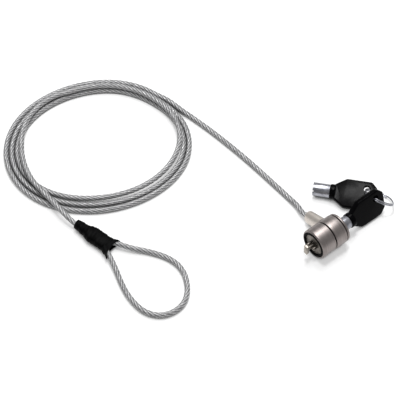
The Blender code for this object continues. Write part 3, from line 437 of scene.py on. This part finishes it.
loopRoute = [
    (-0.0750, -0.0862, 0.0028), (-0.0654, -0.0785, 0.00185), (-0.0530, -0.0722, 0.00185),
    (-0.0464, -0.0711, 0.00185), (-0.0386, -0.0724, 0.00185), (-0.0315, -0.0759, 0.00185),
    (-0.0256, -0.0807, 0.00185), (-0.0218, -0.0861, 0.00185), (-0.0203, -0.0920, 0.00185),
    (-0.0208, -0.0979, 0.00185), (-0.0235, -0.1035, 0.00185), (-0.0283, -0.1075, 0.00185),
    (-0.0337, -0.1095, 0.00185), (-0.0409, -0.1100, 0.00185), (-0.0490, -0.1092, 0.00185),
    (-0.0574, -0.1070, 0.00185), (-0.0690, -0.1031, 0.0024),
]
lugAim = Vector((-cos(lug["droop"]), 0, -sin(lug["droop"])))
lugLocal = pointedAlong(Vector((0, lug["middle"], lug["rise"])), lugAim)
lugPlace = collarPlace @ lugLocal
sleevePlace = Matrix.Translation(floorAt + sleeve["start"]) @ Matrix.Rotation(sleeve["heading"], 4, "Z")


def eased(value, low, high):
    share = min(max((value - low) / (high - low), 0.0), 1.0)
    return share * share * (3 - 2 * share)


def coilPoint(turns):
    # flat loops on the floor, each stepping in at its end, then a climb, and out again on top
    top = coil["turnsIn"] + coil["climb"]
    wound = min(turns, coil["turnsIn"])
    steps = int(wound) + eased(wound - int(wound), coil["stepFrom"], 1.0)
    steps -= max(0.0, turns - top)
    angle = coil["start"] + 2 * pi * turns
    # looser towards one side, and flattened where the lead leaves
    looser = ((1 + cos(angle - coil["spreadHeading"])) / 2) ** coil["spreadPower"]
    flatter = ((1 + cos(angle - coil["start"])) / 2) ** coil["flatPower"]
    radius = coil["radius"] - (coil["pitch"] + coil["spread"] * looser) * steps - coil["flat"] * flatter
    radius += coil["oval"] * cos(2 * (angle - coil["ovalHeading"]))
    height = coil["bed"] + coil["lift"] * eased(turns, coil["turnsIn"], top)
    return Vector((coil["centre"].x + radius * cos(angle), coil["centre"].y + radius * sin(angle), height))


def ropeRoute():
    straight = 2 * rope["radius"]
    fromLug = [lugPlace @ Vector((0, lug["reach"] + beyond, 0))
               for beyond in (-lug["root"], rope["radius"] / 2, 3 * rope["radius"])]
    turns = coil["turnsIn"] + coil["climb"] + coil["turnsOut"]
    count = round(turns * coil["points"])
    wound = [coilPoint(turns * index / count) for index in range(count + 1)]
    wound.insert(0, wound[0] + (wound[0] - wound[1]).normalized() * straight)
    wound.append(wound[-1] + (wound[-1] - wound[-2]).normalized() * straight)
    far = sleeve["length"] - rope["radius"]
    clear = sleeve["crimpStart"] + sleeve["crimpLength"] + rope["radius"] / 2
    inLeg = [(0, 0), (straight, 0), (sleeve["crimpStart"], 0), (clear, 0),
             (clear + straight, -sleeve["bend"]), (far, sleeve["bend"])]
    backLeg = [(far, -sleeve["spacing"] - sleeve["spread"]),
               ((clear + far) / 2, -sleeve["spacing"] - sleeve["spread"] / 3),
               (clear, -sleeve["spacing"]), (sleeve["crimpStart"] + rope["radius"], -sleeve["spacing"])]
    inLeg, backLeg = ([sleevePlace @ Vector((x, y, 0)) for x, y in leg] for leg in (inLeg, backLeg))
    lead, wound, tail, loop = ([floorAt + Vector(point) for point in part]
                               for part in (leadRoute, wound, tailRoute, loopRoute))
    return fromLug + lead + wound + tail + inLeg + loop + backLeg


def smoothRoute(route):
    # evenly spaced points on one smooth curve through the route
    gaps = [(second - first).length for first, second in zip(route, route[1:])]
    slopes = [(second - first) / gap for first, second, gap in zip(route, route[1:], gaps)]
    leans = [slopes[0]]
    for before, after, left, right in zip(slopes, slopes[1:], gaps, gaps[1:]):
        leans.append((before * right + after * left) / (left + right))
    leans.append(slopes[-1])
    fine = []
    for start, end, gap, lean, endLean in zip(route, route[1:], gaps, leans, leans[1:]):
        for t in [index / rope["finePoints"] for index in range(rope["finePoints"])]:
            bend = lean * (t ** 3 - 2 * t ** 2 + t) + endLean * (t ** 3 - t ** 2)
            fine.append(start.lerp(end, 3 * t ** 2 - 2 * t ** 3) + bend * gap)
    fine.append(route[-1])
    reach = [0.0]
    for first, second in zip(fine, fine[1:]):
        reach.append(reach[-1] + (second - first).length)
    count = round(reach[-1] / rope["step"])
    points, place = [], 0
    for index in range(count + 1):
        wanted = reach[-1] * index / count
        while place < len(reach) - 2 and reach[place + 1] < wanted:
            place += 1
        share = (wanted - reach[place]) / (reach[place + 1] - reach[place])
        points.append(fine[place].lerp(fine[place + 1], share))
    return points, reach[-1]


def sweptTube(name, points, section, twist=0.0):
    # a closed section carried along the points by a curve, turned as it goes, and made a mesh
    outline = bpy.data.curves.new("section", "CURVE")
    ring = outline.splines.new("POLY")
    ring.points.add(len(section) - 1)
    for slot, (x, y) in zip(ring.points, section):
        slot.co = (x, y, 0, 1)
    ring.use_cyclic_u = True
    former = bpy.data.objects.new("section", outline)
    line = bpy.data.curves.new(name, "CURVE")
    line.dimensions = "3D"
    line.bevel_mode = "OBJECT"
    line.bevel_object = former
    line.use_fill_caps = True
    spline = line.splines.new("POLY")
    spline.points.add(len(points) - 1)
    steps = [(second - first).length for first, second in zip(points, points[1:])]
    reach = -sum(steps) / 2  # a point's tilt has a limit, so it runs from minus to plus
    for slot, point, step in zip(spline.points, points, steps + [0.0]):
        slot.co = (*point, 1)
        slot.tilt = twist * reach
        reach += step
    carrier = bpy.data.objects.new(name, line)
    for item in (former, carrier):
        bpy.context.collection.objects.link(item)
    mesh = bpy.data.meshes.new_from_object(carrier.evaluated_get(bpy.context.evaluated_depsgraph_get()))
    for item in (carrier, former):
        bpy.data.objects.remove(item, do_unlink=True)
    for curve in (line, outline):
        bpy.data.curves.remove(curve)
    for face in mesh.polygons:
        face.use_smooth = len(face.vertices) == 4
    mesh.name = name
    return mesh


ropePoints, ropeLength = smoothRoute(ropeRoute())
rope["turns"] = ropeLength / rope["lay"]
finishes["coated_rope"] = makeRope(rope, coat)
lobes = []
for index in range(rope["strands"] * rope["facets"]):
    angle = 2 * pi * index / (rope["strands"] * rope["facets"])
    dip = 1 - abs(cos(rope["strands"] * angle / 2)) ** rope["bulge"]
    radius = rope["radius"] - rope["groove"] * dip
    lobes.append((radius * cos(angle), radius * sin(angle)))
wireRope = dressed("wireRope", sweptTube("wireRope", ropePoints, lobes, 2 * pi / rope["lay"]), "coated_rope",
                   "cable_side", ["cable_lead", "cable_coil", "cable_tail", "cable_loop"])
print(f"rope laid, {ropeLength:.3f} m")


# the shrink sleeve over the crimp at the root of the loop
skin = {"wall": 0.00055, "around": 40, "along": 84, "lump": 0.00013, "notch": 0.0022, "notchFrom": 0.80,
        "waist": 0.34, "flatter": 1.6, "plainEnd": 0.04, "lift": 0.0001,
        "folds": {"wide": 830, "middle": 1750, "fine": 2900},
        # along, upper edge, lower edge, half thickness
        "sides": [(0.0, 0.0034, -0.0029, 0.0029), (0.0027, 0.0036, -0.0034, 0.0031),
                  (0.0075, 0.0029, -0.0047, 0.0030), (0.0112, 0.0039, -0.0064, 0.0033),
                  (0.0135, 0.0040, -0.0072, 0.0034), (0.0160, 0.0038, -0.0074, 0.0034),
                  (0.0197, 0.0033, -0.0077, 0.0033), (0.0237, 0.0025, -0.0084, 0.0030),
                  (0.0279, 0.0026, -0.0101, 0.0029), (0.0315, 0.0032, -0.0125, 0.0028)]}


def sleeveSide(x):
    # upper edge, lower edge and half thickness of the sleeve at x
    for first, second in zip(skin["sides"], skin["sides"][1:]):
        if x <= second[0]:
            share = eased(x, first[0], second[0])
            return [start + (end - start) * share for start, end in zip(first[1:], second[1:])]
    return skin["sides"][-1][1:]


def foldAt(x, across, high):
    # three sets of creases round the sleeve, each a little slanted
    folds = skin["folds"]
    fold = sin(x * folds["middle"] + 1.7 * sin(across * 2.2 + high)) * 0.45
    fold += sin(x * folds["wide"] + across * 2.6) * 0.65
    return fold + 0.5 * sin(x * folds["fine"] + high * 3.1)


def makeSleeve():
    shape = bmesh.new()
    bmesh.ops.create_cone(shape, cap_ends=False, segments=skin["around"], radius1=1, radius2=1, depth=1)
    rails = [edge for edge in shape.edges if abs(edge.verts[0].co.z - edge.verts[1].co.z) > 0.5]
    bmesh.ops.subdivide_edges(shape, edges=rails, cuts=skin["along"] - 1, use_grid_fill=True)
    lowest = skin["lift"] - sleeve["start"].z
    for vert in shape.verts:
        share = vert.co.z + 0.5
        across, high = vert.co.x, vert.co.y  # both on the unit circle
        x = share * sleeve["length"]
        top, bottom, half = sleeveSide(x)
        middle, reach = (top + bottom) / 2, (top - bottom) / 2
        # stadium section: round sides of the half thickness, flat between, pinched between the legs
        y = middle + (reach - half) * max(-1.0, min(1.0, across * skin["flatter"])) + half * across
        aside = abs(y - middle)
        opened = eased(x, sleeve["crimpStart"] + sleeve["crimpLength"], sleeve["length"])
        pinch = 1 - skin["waist"] * opened * (1 - min(1.0, aside / max(reach - half, 1e-5)))
        x -= skin["notch"] * eased(share, skin["notchFrom"], 1.0) * max(0.0, 1 - (aside / reach) ** 2)
        lump = skin["lump"] * foldAt(x, across, high) / max(half, 0.002) * eased(share, 0.0, skin["plainEnd"])
        y = middle + (y - middle) * (1 + lump * half / reach)
        vert.co = (x, y, max(half * high * pinch * (1 + lump), lowest))
    bmesh.ops.recalc_face_normals(shape, faces=shape.faces)
    bmesh.ops.solidify(shape, geom=shape.faces[:], thickness=-skin["wall"])
    bmesh.ops.recalc_face_normals(shape, faces=shape.faces)
    return shape


shrinkSleeve = addPiece("shrinkSleeve", makeSleeve(), "shrink_sleeve", "cable_side", sleevePlace,
                        ["loop_sleeve"], radians(70))
lugPlace @ Vector((0, lug["reach"], 0))
2 * rope["radius"]
print("sleeve made")


# lock head
head = {"radius": 0.0100, "housing": 0.0107, "rim": 0.0010, "rimRound": 0.0012, "lip": 0.0002,
        "seat": 0.00175, "web": 0.0042, "bore": 0.0072, "journal": 0.0029, "collarFront": 0.0115,
        "collarRear": 0.0200, "edge": 0.00025, "steps": 96}
rearCollar = {"radius": 0.0098, "front": 0.0207, "rear": 0.0222, "edge": 0.00035}
frontRing = {"outer": 0.00885, "inner": 0.0073, "front": -0.00035, "rear": 0.0016, "round": 0.00032}
frontPlate = {"radius": 0.00715, "front": 0.0005, "rear": 0.0015, "hole": 0.0014, "edge": 0.00012}
washers = {"frontWasher": {"radius": 0.0092, "front": 0.01095, "rear": 0.01125, "node": "front_washer"},
           "rearWasher": {"radius": 0.0090, "front": 0.020225, "rear": 0.020475, "node": "rear_washer"}}
washerEdge = 0.00006


def makeHousing():
    innerRim = head["radius"] - head["rim"]
    profile = [(head["bore"], head["housing"]), (head["bore"], head["web"]), (head["journal"], head["web"]),
               (head["journal"], head["seat"]), (innerRim, head["seat"]), (innerRim, head["lip"]),
               (innerRim + head["lip"], 0)]
    middle = head["radius"] - head["rimRound"]
    for angle in quarterTurn(8)[1:]:
        profile.append((middle + head["rimRound"] * sin(angle), head["rimRound"] * (1 - cos(angle))))
    profile.append((head["radius"], head["housing"] - head["edge"]))
    profile.append((head["radius"] - head["edge"], head["housing"]))
    return spun(profile, head["steps"])


lugShape = {"base": 0.0042, "end": 0.0038, "round": 0.0009, "fillet": 0.0016, "filletOut": 0.12,
            "sunk": 0.0004, "overlap": 0.0003, "bore": 0.0028}
ferrule = {"inner": 0.0019, "outer": 0.00265, "deep": 0.00775, "back": 0.00025, "edge": 0.00012}


def makeCollar():
    # swivel ring with the cable lug cast on, filleted at its root
    ring = makeTube(head["bore"], head["radius"], head["collarFront"], head["collarRear"], head["edge"],
                    head["steps"])
    inside = head["bore"] + lugShape["overlap"]
    profile = [(0, inside), (lugShape["base"] + lugShape["overlap"], inside)]
    for angle in quarterTurn(6):
        profile.append((lugShape["base"] + lugShape["fillet"] * lugShape["filletOut"] * (1 - sin(angle)),
                        head["radius"] - lugShape["sunk"] + lugShape["fillet"] * (1 - cos(angle))))
    for angle in quarterTurn(6):
        profile.append((lugShape["end"] - lugShape["round"] * (1 - cos(angle)),
                        lug["reach"] - lugShape["round"] * (1 - sin(angle))))
    profile.append((0, lug["reach"]))
    boss = placed(spun(profile, 64, closed=False), lugLocal @ Matrix.Diagonal((1, 1, lug["tall"], 1)))
    shape = combined(ring, boss, "UNION")
    drill = makeRod(lugShape["bore"], lug["reach"] - lug["bore"], lug["reach"] + lug["bore"], 48)
    return combined(shape, placed(drill, lugLocal), "DIFFERENCE")


prong = {"radius": 0.00095, "offset": 0.00245, "reach": -0.0026, "root": 0.0010, "tip": 0.0003,
         "tipRound": 0.0001}


def makePlate():
    # plate with two prongs, rounded at their tips
    shape = makeTube(frontPlate["hole"], frontPlate["radius"], frontPlate["front"], frontPlate["rear"],
                     frontPlate["edge"], head["steps"], 2)
    for sideWay in (-1, 1):
        pin = spun([(0, prong["root"]), (prong["radius"], prong["root"]),
                    (prong["radius"], prong["reach"] + prong["tip"]),
                    (prong["radius"] - prong["tipRound"], prong["reach"] + prong["tipRound"]),
                    (prong["radius"] - prong["tip"], prong["reach"]), (0, prong["reach"])], 32, closed=False)
        shape = combined(shape, placed(pin, Matrix.Translation((sideWay * prong["offset"], 0, 0))), "UNION")
    return shape


spindle = {"neck": 0.0012, "front": -0.0066, "thick": 0.0020, "length": 0.0068, "width": 0.0029,
           "edge": 0.00032, "overlap": 0.001, "journal": 0.0027, "journalFrom": 0.00175, "flange": 0.0036,
           "flangeFrom": 0.0043, "flangeTo": 0.0051, "drive": 0.0022, "driveTo": 0.0145}


def makeSpindle():
    # T-bar on its neck; the journal and drive behind it are hidden in the head
    front, rear = spindle["front"], spindle["front"] + spindle["thick"]
    half = spindle["length"] / 2
    bar = slab([(front, -half), (rear, -half), (rear, half), (front, half)], spindle["width"])
    softened(bar, spindle["edge"])
    neckFrom = rear - spindle["overlap"]
    neck = spun([(0, neckFrom), (spindle["neck"], neckFrom), (spindle["neck"], spindle["journalFrom"]),
                 (spindle["journal"], spindle["journalFrom"]), (spindle["journal"], spindle["flangeFrom"]),
                 (spindle["flange"], spindle["flangeFrom"]), (spindle["flange"], spindle["flangeTo"]),
                 (spindle["drive"], spindle["flangeTo"]), (spindle["drive"], spindle["driveTo"]),
                 (0, spindle["driveTo"])], 48, closed=False)
    return combined(neck, bar, "UNION")


addPiece("frontHousing", makeHousing(), "satin_nickel", "lock_body", lockPlace, ["front_housing"])
addPiece("frontRing", makeTube(frontRing["inner"], frontRing["outer"], frontRing["front"], frontRing["rear"],
                               frontRing["round"], head["steps"], 4),
         "black_rubber", "lock_body", lockPlace, ["front_ring"])
# the plate's prongs and the T-bar stand upright at rest
addPiece("frontPlate", makePlate(), "cast_zinc", "lock_body", collarPlace, ["front_plate"])
for name, washer in washers.items():
    addPiece(name, makeTube(head["bore"], washer["radius"], washer["front"], washer["rear"], washerEdge,
                            head["steps"]), "dark_washer", "lock_body", lockPlace, [washer["node"]])
addPiece("rearCollar", makeTube(head["bore"], rearCollar["radius"], rearCollar["front"], rearCollar["rear"],
                                rearCollar["edge"], head["steps"]),
         "satin_nickel", "lock_body", lockPlace, ["rear_collar"])
addPiece("swivelCollar", makeCollar(), "satin_nickel", "cable_side", collarPlace, ["swivel_collar"])
addPiece("tBar", makeSpindle(), "bright_steel", "spindle", collarPlace, ["lock_spindle"],
         finish="satin_spindle")
addPiece("lugFerrule", makeTube(ferrule["inner"], ferrule["outer"], lug["reach"] - ferrule["deep"],
                                lug["reach"] - ferrule["back"], ferrule["edge"], head["steps"]),
         "crimp_aluminium", "cable_side", lugPlace, ["cable_ferrule"])
print("lock head made")


# keys
key = {"radius": 0.0044, "bore": 0.0033, "barrel": 0.0110, "boreDepth": 0.0095, "edge": 0.0002,
       "inserted": 0.0182, "neck": 0.0024, "neckRadius": 0.0049, "neckGap": 0.00015, "neckEdge": 0.00035,
       "pinCircle": 0.0039, "cut": 0.00075, "cutFrom": -0.001,
       "cuts": [0.0004, 0.0009, 0.0006, 0.0012, 0.0003, 0.0007, 0.0010, 0.0005]}
bow = {"length": 0.0276, "width": 0.0196, "thick": 0.0038, "shoulder": 0.0072, "root": 0.0048,
       "corner": 0.0040, "cornerRound": 0.0009, "edge": 0.00085, "hole": 0.0019, "flare": 0.0015,
       "flareShare": 0.8, "flareCurve": 1.6, "flareReach": 0.92, "holeFromEnd": 0.0068,
       "holeFromSide": 0.0050}
bowStart = key["barrel"] + key["neck"]
holeAt = Vector((0, bowStart + bow["length"] - bow["holeFromEnd"], bow["width"] / 2 - bow["holeFromSide"]))
keyPlace = lockPlace @ Matrix.Translation((0, key["inserted"], 0))


def makeBarrel():
    # tube with a pin cut at each place round its tip
    shape = spun([(0, key["boreDepth"]), (key["bore"], key["boreDepth"]), (key["bore"], 0),
                  (key["radius"], 0), (key["radius"], key["barrel"]), (0, key["barrel"])], 72, closed=False)
    softened(shape, key["edge"], 2)
    for index, depth in enumerate(key["cuts"]):
        notch = makeRod(key["cut"], key["cutFrom"], depth, 24)
        turned = Matrix.Rotation(2 * pi * index / len(key["cuts"]), 4, "Y")
        notchPlace = turned @ Matrix.Translation((key["pinCircle"], 0, 0))
        shape = combined(shape, placed(notch, notchPlace), "DIFFERENCE")
    return shape


def makeBow():
    # eight-sided head with rounded edges, a round neck and a waisted hole for the ring
    end, half = bowStart + bow["length"], bow["width"] / 2
    upper = [(bowStart, bow["root"]), (bowStart + bow["shoulder"], half), (end - bow["corner"], half),
             (end, half - bow["corner"])]
    shape = slab(upper + [(y, -z) for y, z in reversed(upper)], bow["thick"])
    posts = [edge for edge in shape.edges if abs(edge.verts[0].co.x - edge.verts[1].co.x) > bow["thick"] / 2]
    bmesh.ops.bevel(shape, geom=posts, offset=bow["cornerRound"], affect="EDGES", segments=4, profile=0.5,
                    material=-1)
    rims = [edge for edge in shape.edges if abs(edge.calc_face_angle() - pi / 2) < 0.1
            and abs(edge.verts[0].co.x - edge.verts[1].co.x) < tiny]
    bmesh.ops.bevel(shape, geom=rims, offset=bow["edge"], affect="EDGES", segments=4, profile=0.5,
                    material=-1)
    neck = makeRod(key["neckRadius"], key["barrel"] + key["neckGap"], bowStart + key["neck"] / 2, 64)
    shape = combined(shape, softened(neck, key["neckEdge"]), "UNION")
    wide, deep = bow["hole"] + bow["flare"], bow["thick"]
    profile = [(0, -deep), (wide, -deep)]
    for share in [index / 6 for index in range(-6, 7)]:
        flared = bow["flare"] * abs(share) ** bow["flareCurve"] * bow["flareShare"]
        profile.append((bow["hole"] + flared, deep * share * bow["flareReach"]))
    profile += [(wide, deep), (0, deep)]
    waist = placed(spun(profile, 48, closed=False), pointedAlong(holeAt, Vector((1, 0, 0))))
    return combined(shape, waist, "DIFFERENCE")


spareLie = {"heading": radians(38), "pitch": radians(2)}
spareHole = Vector(joints["spare_key_swing"]["pos_m"])
spareAxis = Vector(joints["spare_key_swing"]["axis"])
spareWay = Vector((cos(spareLie["heading"]) * cos(spareLie["pitch"]),
                   sin(spareLie["heading"]) * cos(spareLie["pitch"]), sin(spareLie["pitch"])))
spareTurn = Matrix((spareAxis, spareWay, spareAxis.cross(spareWay))).transposed().to_4x4()
sparePlace = Matrix.Translation(spareHole) @ spareTurn @ Matrix.Translation(-holeAt)
for name, body, place in (("lockKey", "key", keyPlace), ("spareKey", "spare_key", sparePlace)):
    addPiece(name + "Barrel", makeBarrel(), "bright_steel", body, place, [body + "_barrel"])
    addPiece(name + "Bow", makeBow(), "black_plastic", body, place, [body + "_head"], radians(50))
print("keys made")


# split ring through both bows
splitRing = {"radius": 0.0099, "wire": 0.00045, "gap": 0.00014, "drop": 0.0009, "lean": radians(12.5),
             "crossing": radians(60), "endSpace": radians(8), "points": 176, "around": 16}


def ringFrame(first, second):
    # centre of the ring, X towards the first hole, Z along the ring's own axis
    chord = second - first
    toward = chord.normalized()
    level = Vector((1, 0, 0))
    level = (level - level.dot(toward) * toward).normalized()
    rise = level.cross(toward).normalized()
    rise = rise if rise.z > 0 else -rise
    away = cos(splitRing["lean"]) * level + sin(splitRing["lean"]) * rise
    centre = (first + second) / 2 + away * sqrt(splitRing["radius"] ** 2 - (chord.length / 2) ** 2)
    out = (first - centre).normalized()
    axle = out.cross((second - centre).normalized()).normalized()
    return Matrix.Translation(centre) @ Matrix((out, axle.cross(out), axle)).transposed().to_4x4()


def ringPoints(opening):
    # nearly two turns side by side; the wire crosses over where its two ends leave it room
    offset = splitRing["wire"] + splitRing["gap"] / 2
    start = opening + splitRing["crossing"] / 2 + splitRing["endSpace"]
    end = opening + 4 * pi - splitRing["crossing"] / 2 - splitRing["endSpace"]
    points = []
    for index in range(splitRing["points"] + 1):
        angle = start + (end - start) * index / splitRing["points"]
        share = (angle - (opening + 2 * pi)) / splitRing["crossing"] + 0.5
        sideways = offset * (2 * eased(share, 0, 1) - 1)
        points.append(Vector((splitRing["radius"] * cos(angle), splitRing["radius"] * sin(angle), sideways)))
    return points


firstHole = keyPlace @ (holeAt - Vector((0, 0, splitRing["drop"])))
ringAt = ringFrame(firstHole, spareHole)
spareSeen = ringAt.inverted() @ spareHole
halfTurn = Vector((spareSeen.x, spareSeen.y)).angle_signed(Vector((1, 0))) / 2
wirePath = [ringAt @ point for point in ringPoints(pi + halfTurn)]
wireTurns = [2 * pi * index / splitRing["around"] for index in range(splitRing["around"])]
wireSection = [(splitRing["wire"] * cos(angle), splitRing["wire"] * sin(angle)) for angle in wireTurns]
dressed("splitRing", sweptTube("splitRing", wirePath, wireSection), "bright_steel", "ring", ["split_ring"])
print("split ring made")


# the lock's inner works keep their solids and take the finish of their slot
inner = {"cast_zinc": ["core_sleeve"], "crimp_aluminium": ["loop_ferrule"], "pin_brass": ["stator", "rotor"],
         "bright_steel": ["housing_pin", "retaining_ring", "stator_pin"]}
for number in range(1, len(key["cuts"]) + 1):
    inner["pin_brass"] += [f"key_pin_{number}", f"driver_pin_{number}"]
    inner["bright_steel"].append(f"pin_spring_{number}")
for slot, names in inner.items():
    for name in names:
        for place in bpy.data.objects[name].material_slots:
            place.material = finishes[slot]
print("inner works finished")


# floor and light
studio = {"floor": 3.0, "floorDrop": 0.0002, "floorTone": 0.60, "fibre": 900.0, "fibreTone": 1.01,
          "rough": 0.9, "shine": 0.1, "glow": 0.45, "paintedShadeReach": 0.004, "paintedGapShade": 0.05,
          "paintedShadeRange": (0.20, 0.60), "sky": 0.36, "horizon": 0.40, "horizonTo": 0.15, "skyFrom": 0.55,
          "lampAim": Vector((-0.06, -0.04, 0))}
lamps = {
    "backLight": {"at": (-0.40, 0.33, 0.96), "size": 0.50, "watts": 5.4},
    "topLight": {"at": (-0.13, 0.0, 1.05), "size": 0.22, "watts": 5.0},
}
floorShape = bmesh.new()
bmesh.ops.create_grid(floorShape, x_segments=8, y_segments=8, size=studio["floor"])
bmesh.ops.translate(floorShape, vec=(0, 0, -studio["floorDrop"]), verts=floorShape.verts)
floor = bpy.data.objects.new("floor", toMesh(floorShape, "floor"))
paper = Finish("whitePaper", Metallic=0.0, Roughness=studio["rough"], Specular_IOR_Level=studio["shine"],
               Emission_Strength=studio["glow"])
wire = paper.wire
fibre = wire.noise(paper.place, studio["fibre"], 2.0)
cameraRay, glossyRay, clearRay = (wire.node("LightPath", {}, {}, "Is " + name + " Ray")
                                  for name in ("Camera", "Glossy", "Transmission"))
seen = wire.maths("MINIMUM", cameraRay + glossyRay + clearRay, 1.0)
paintedShadeOcclusion = wire.node("AmbientOcclusion", {"samples": 8}, {"Distance": studio["paintedShadeReach"]}, "AO")
clear = paintedShadeOcclusion.between(*studio["paintedShadeRange"])  # painted shade: ambient occlusion darkens the paper's colour and glow in the narrow gaps between the rope's turns
white = wire.blendTo([studio["floorTone"]] * 3, [studio["floorTone"] * studio["fibreTone"]] * 3, fibre)
paper.feed(Base_Color=wire.blendTo([studio["paintedGapShade"]] * 3, white, clear),
           Emission_Color=wire.blendTo((0, 0, 0), (1, 1, 1), seen * clear))
floor.data.materials.append(paper.material)
bpy.context.collection.objects.link(floor)
for name, lamp in lamps.items():
    light = bpy.data.lights.new(name, "AREA")
    light.shape = "DISK"
    light.size = lamp["size"]
    light.energy = lamp["watts"]
    stand = bpy.data.objects.new(name, light)
    lampTurn = (studio["lampAim"] - Vector(lamp["at"])).to_track_quat("-Z", "Y")
    stand.matrix_world = Matrix.Translation(lamp["at"]) @ lampTurn.to_matrix().to_4x4()
    bpy.context.collection.objects.link(stand)
world = bpy.data.worlds.new("studio")
bpy.context.scene.world = world
world.use_nodes = True
sky = Wire(world.node_tree)
height = sky.split(sky.node("TexCoord", {}, {}, "Generated"), 2)
stops = [(0.0, studio["horizon"]), (studio["horizonTo"], studio["horizon"]),
         (studio["skyFrom"], studio["sky"])]
shade = sky.node("ValToRGB", {"stops": stops}, {0: height})
world.node_tree.links.new(shade.socket, world.node_tree.nodes["Background"].inputs["Color"])
bpy.context.scene.view_settings.view_transform = "Standard"
print("studio lit")
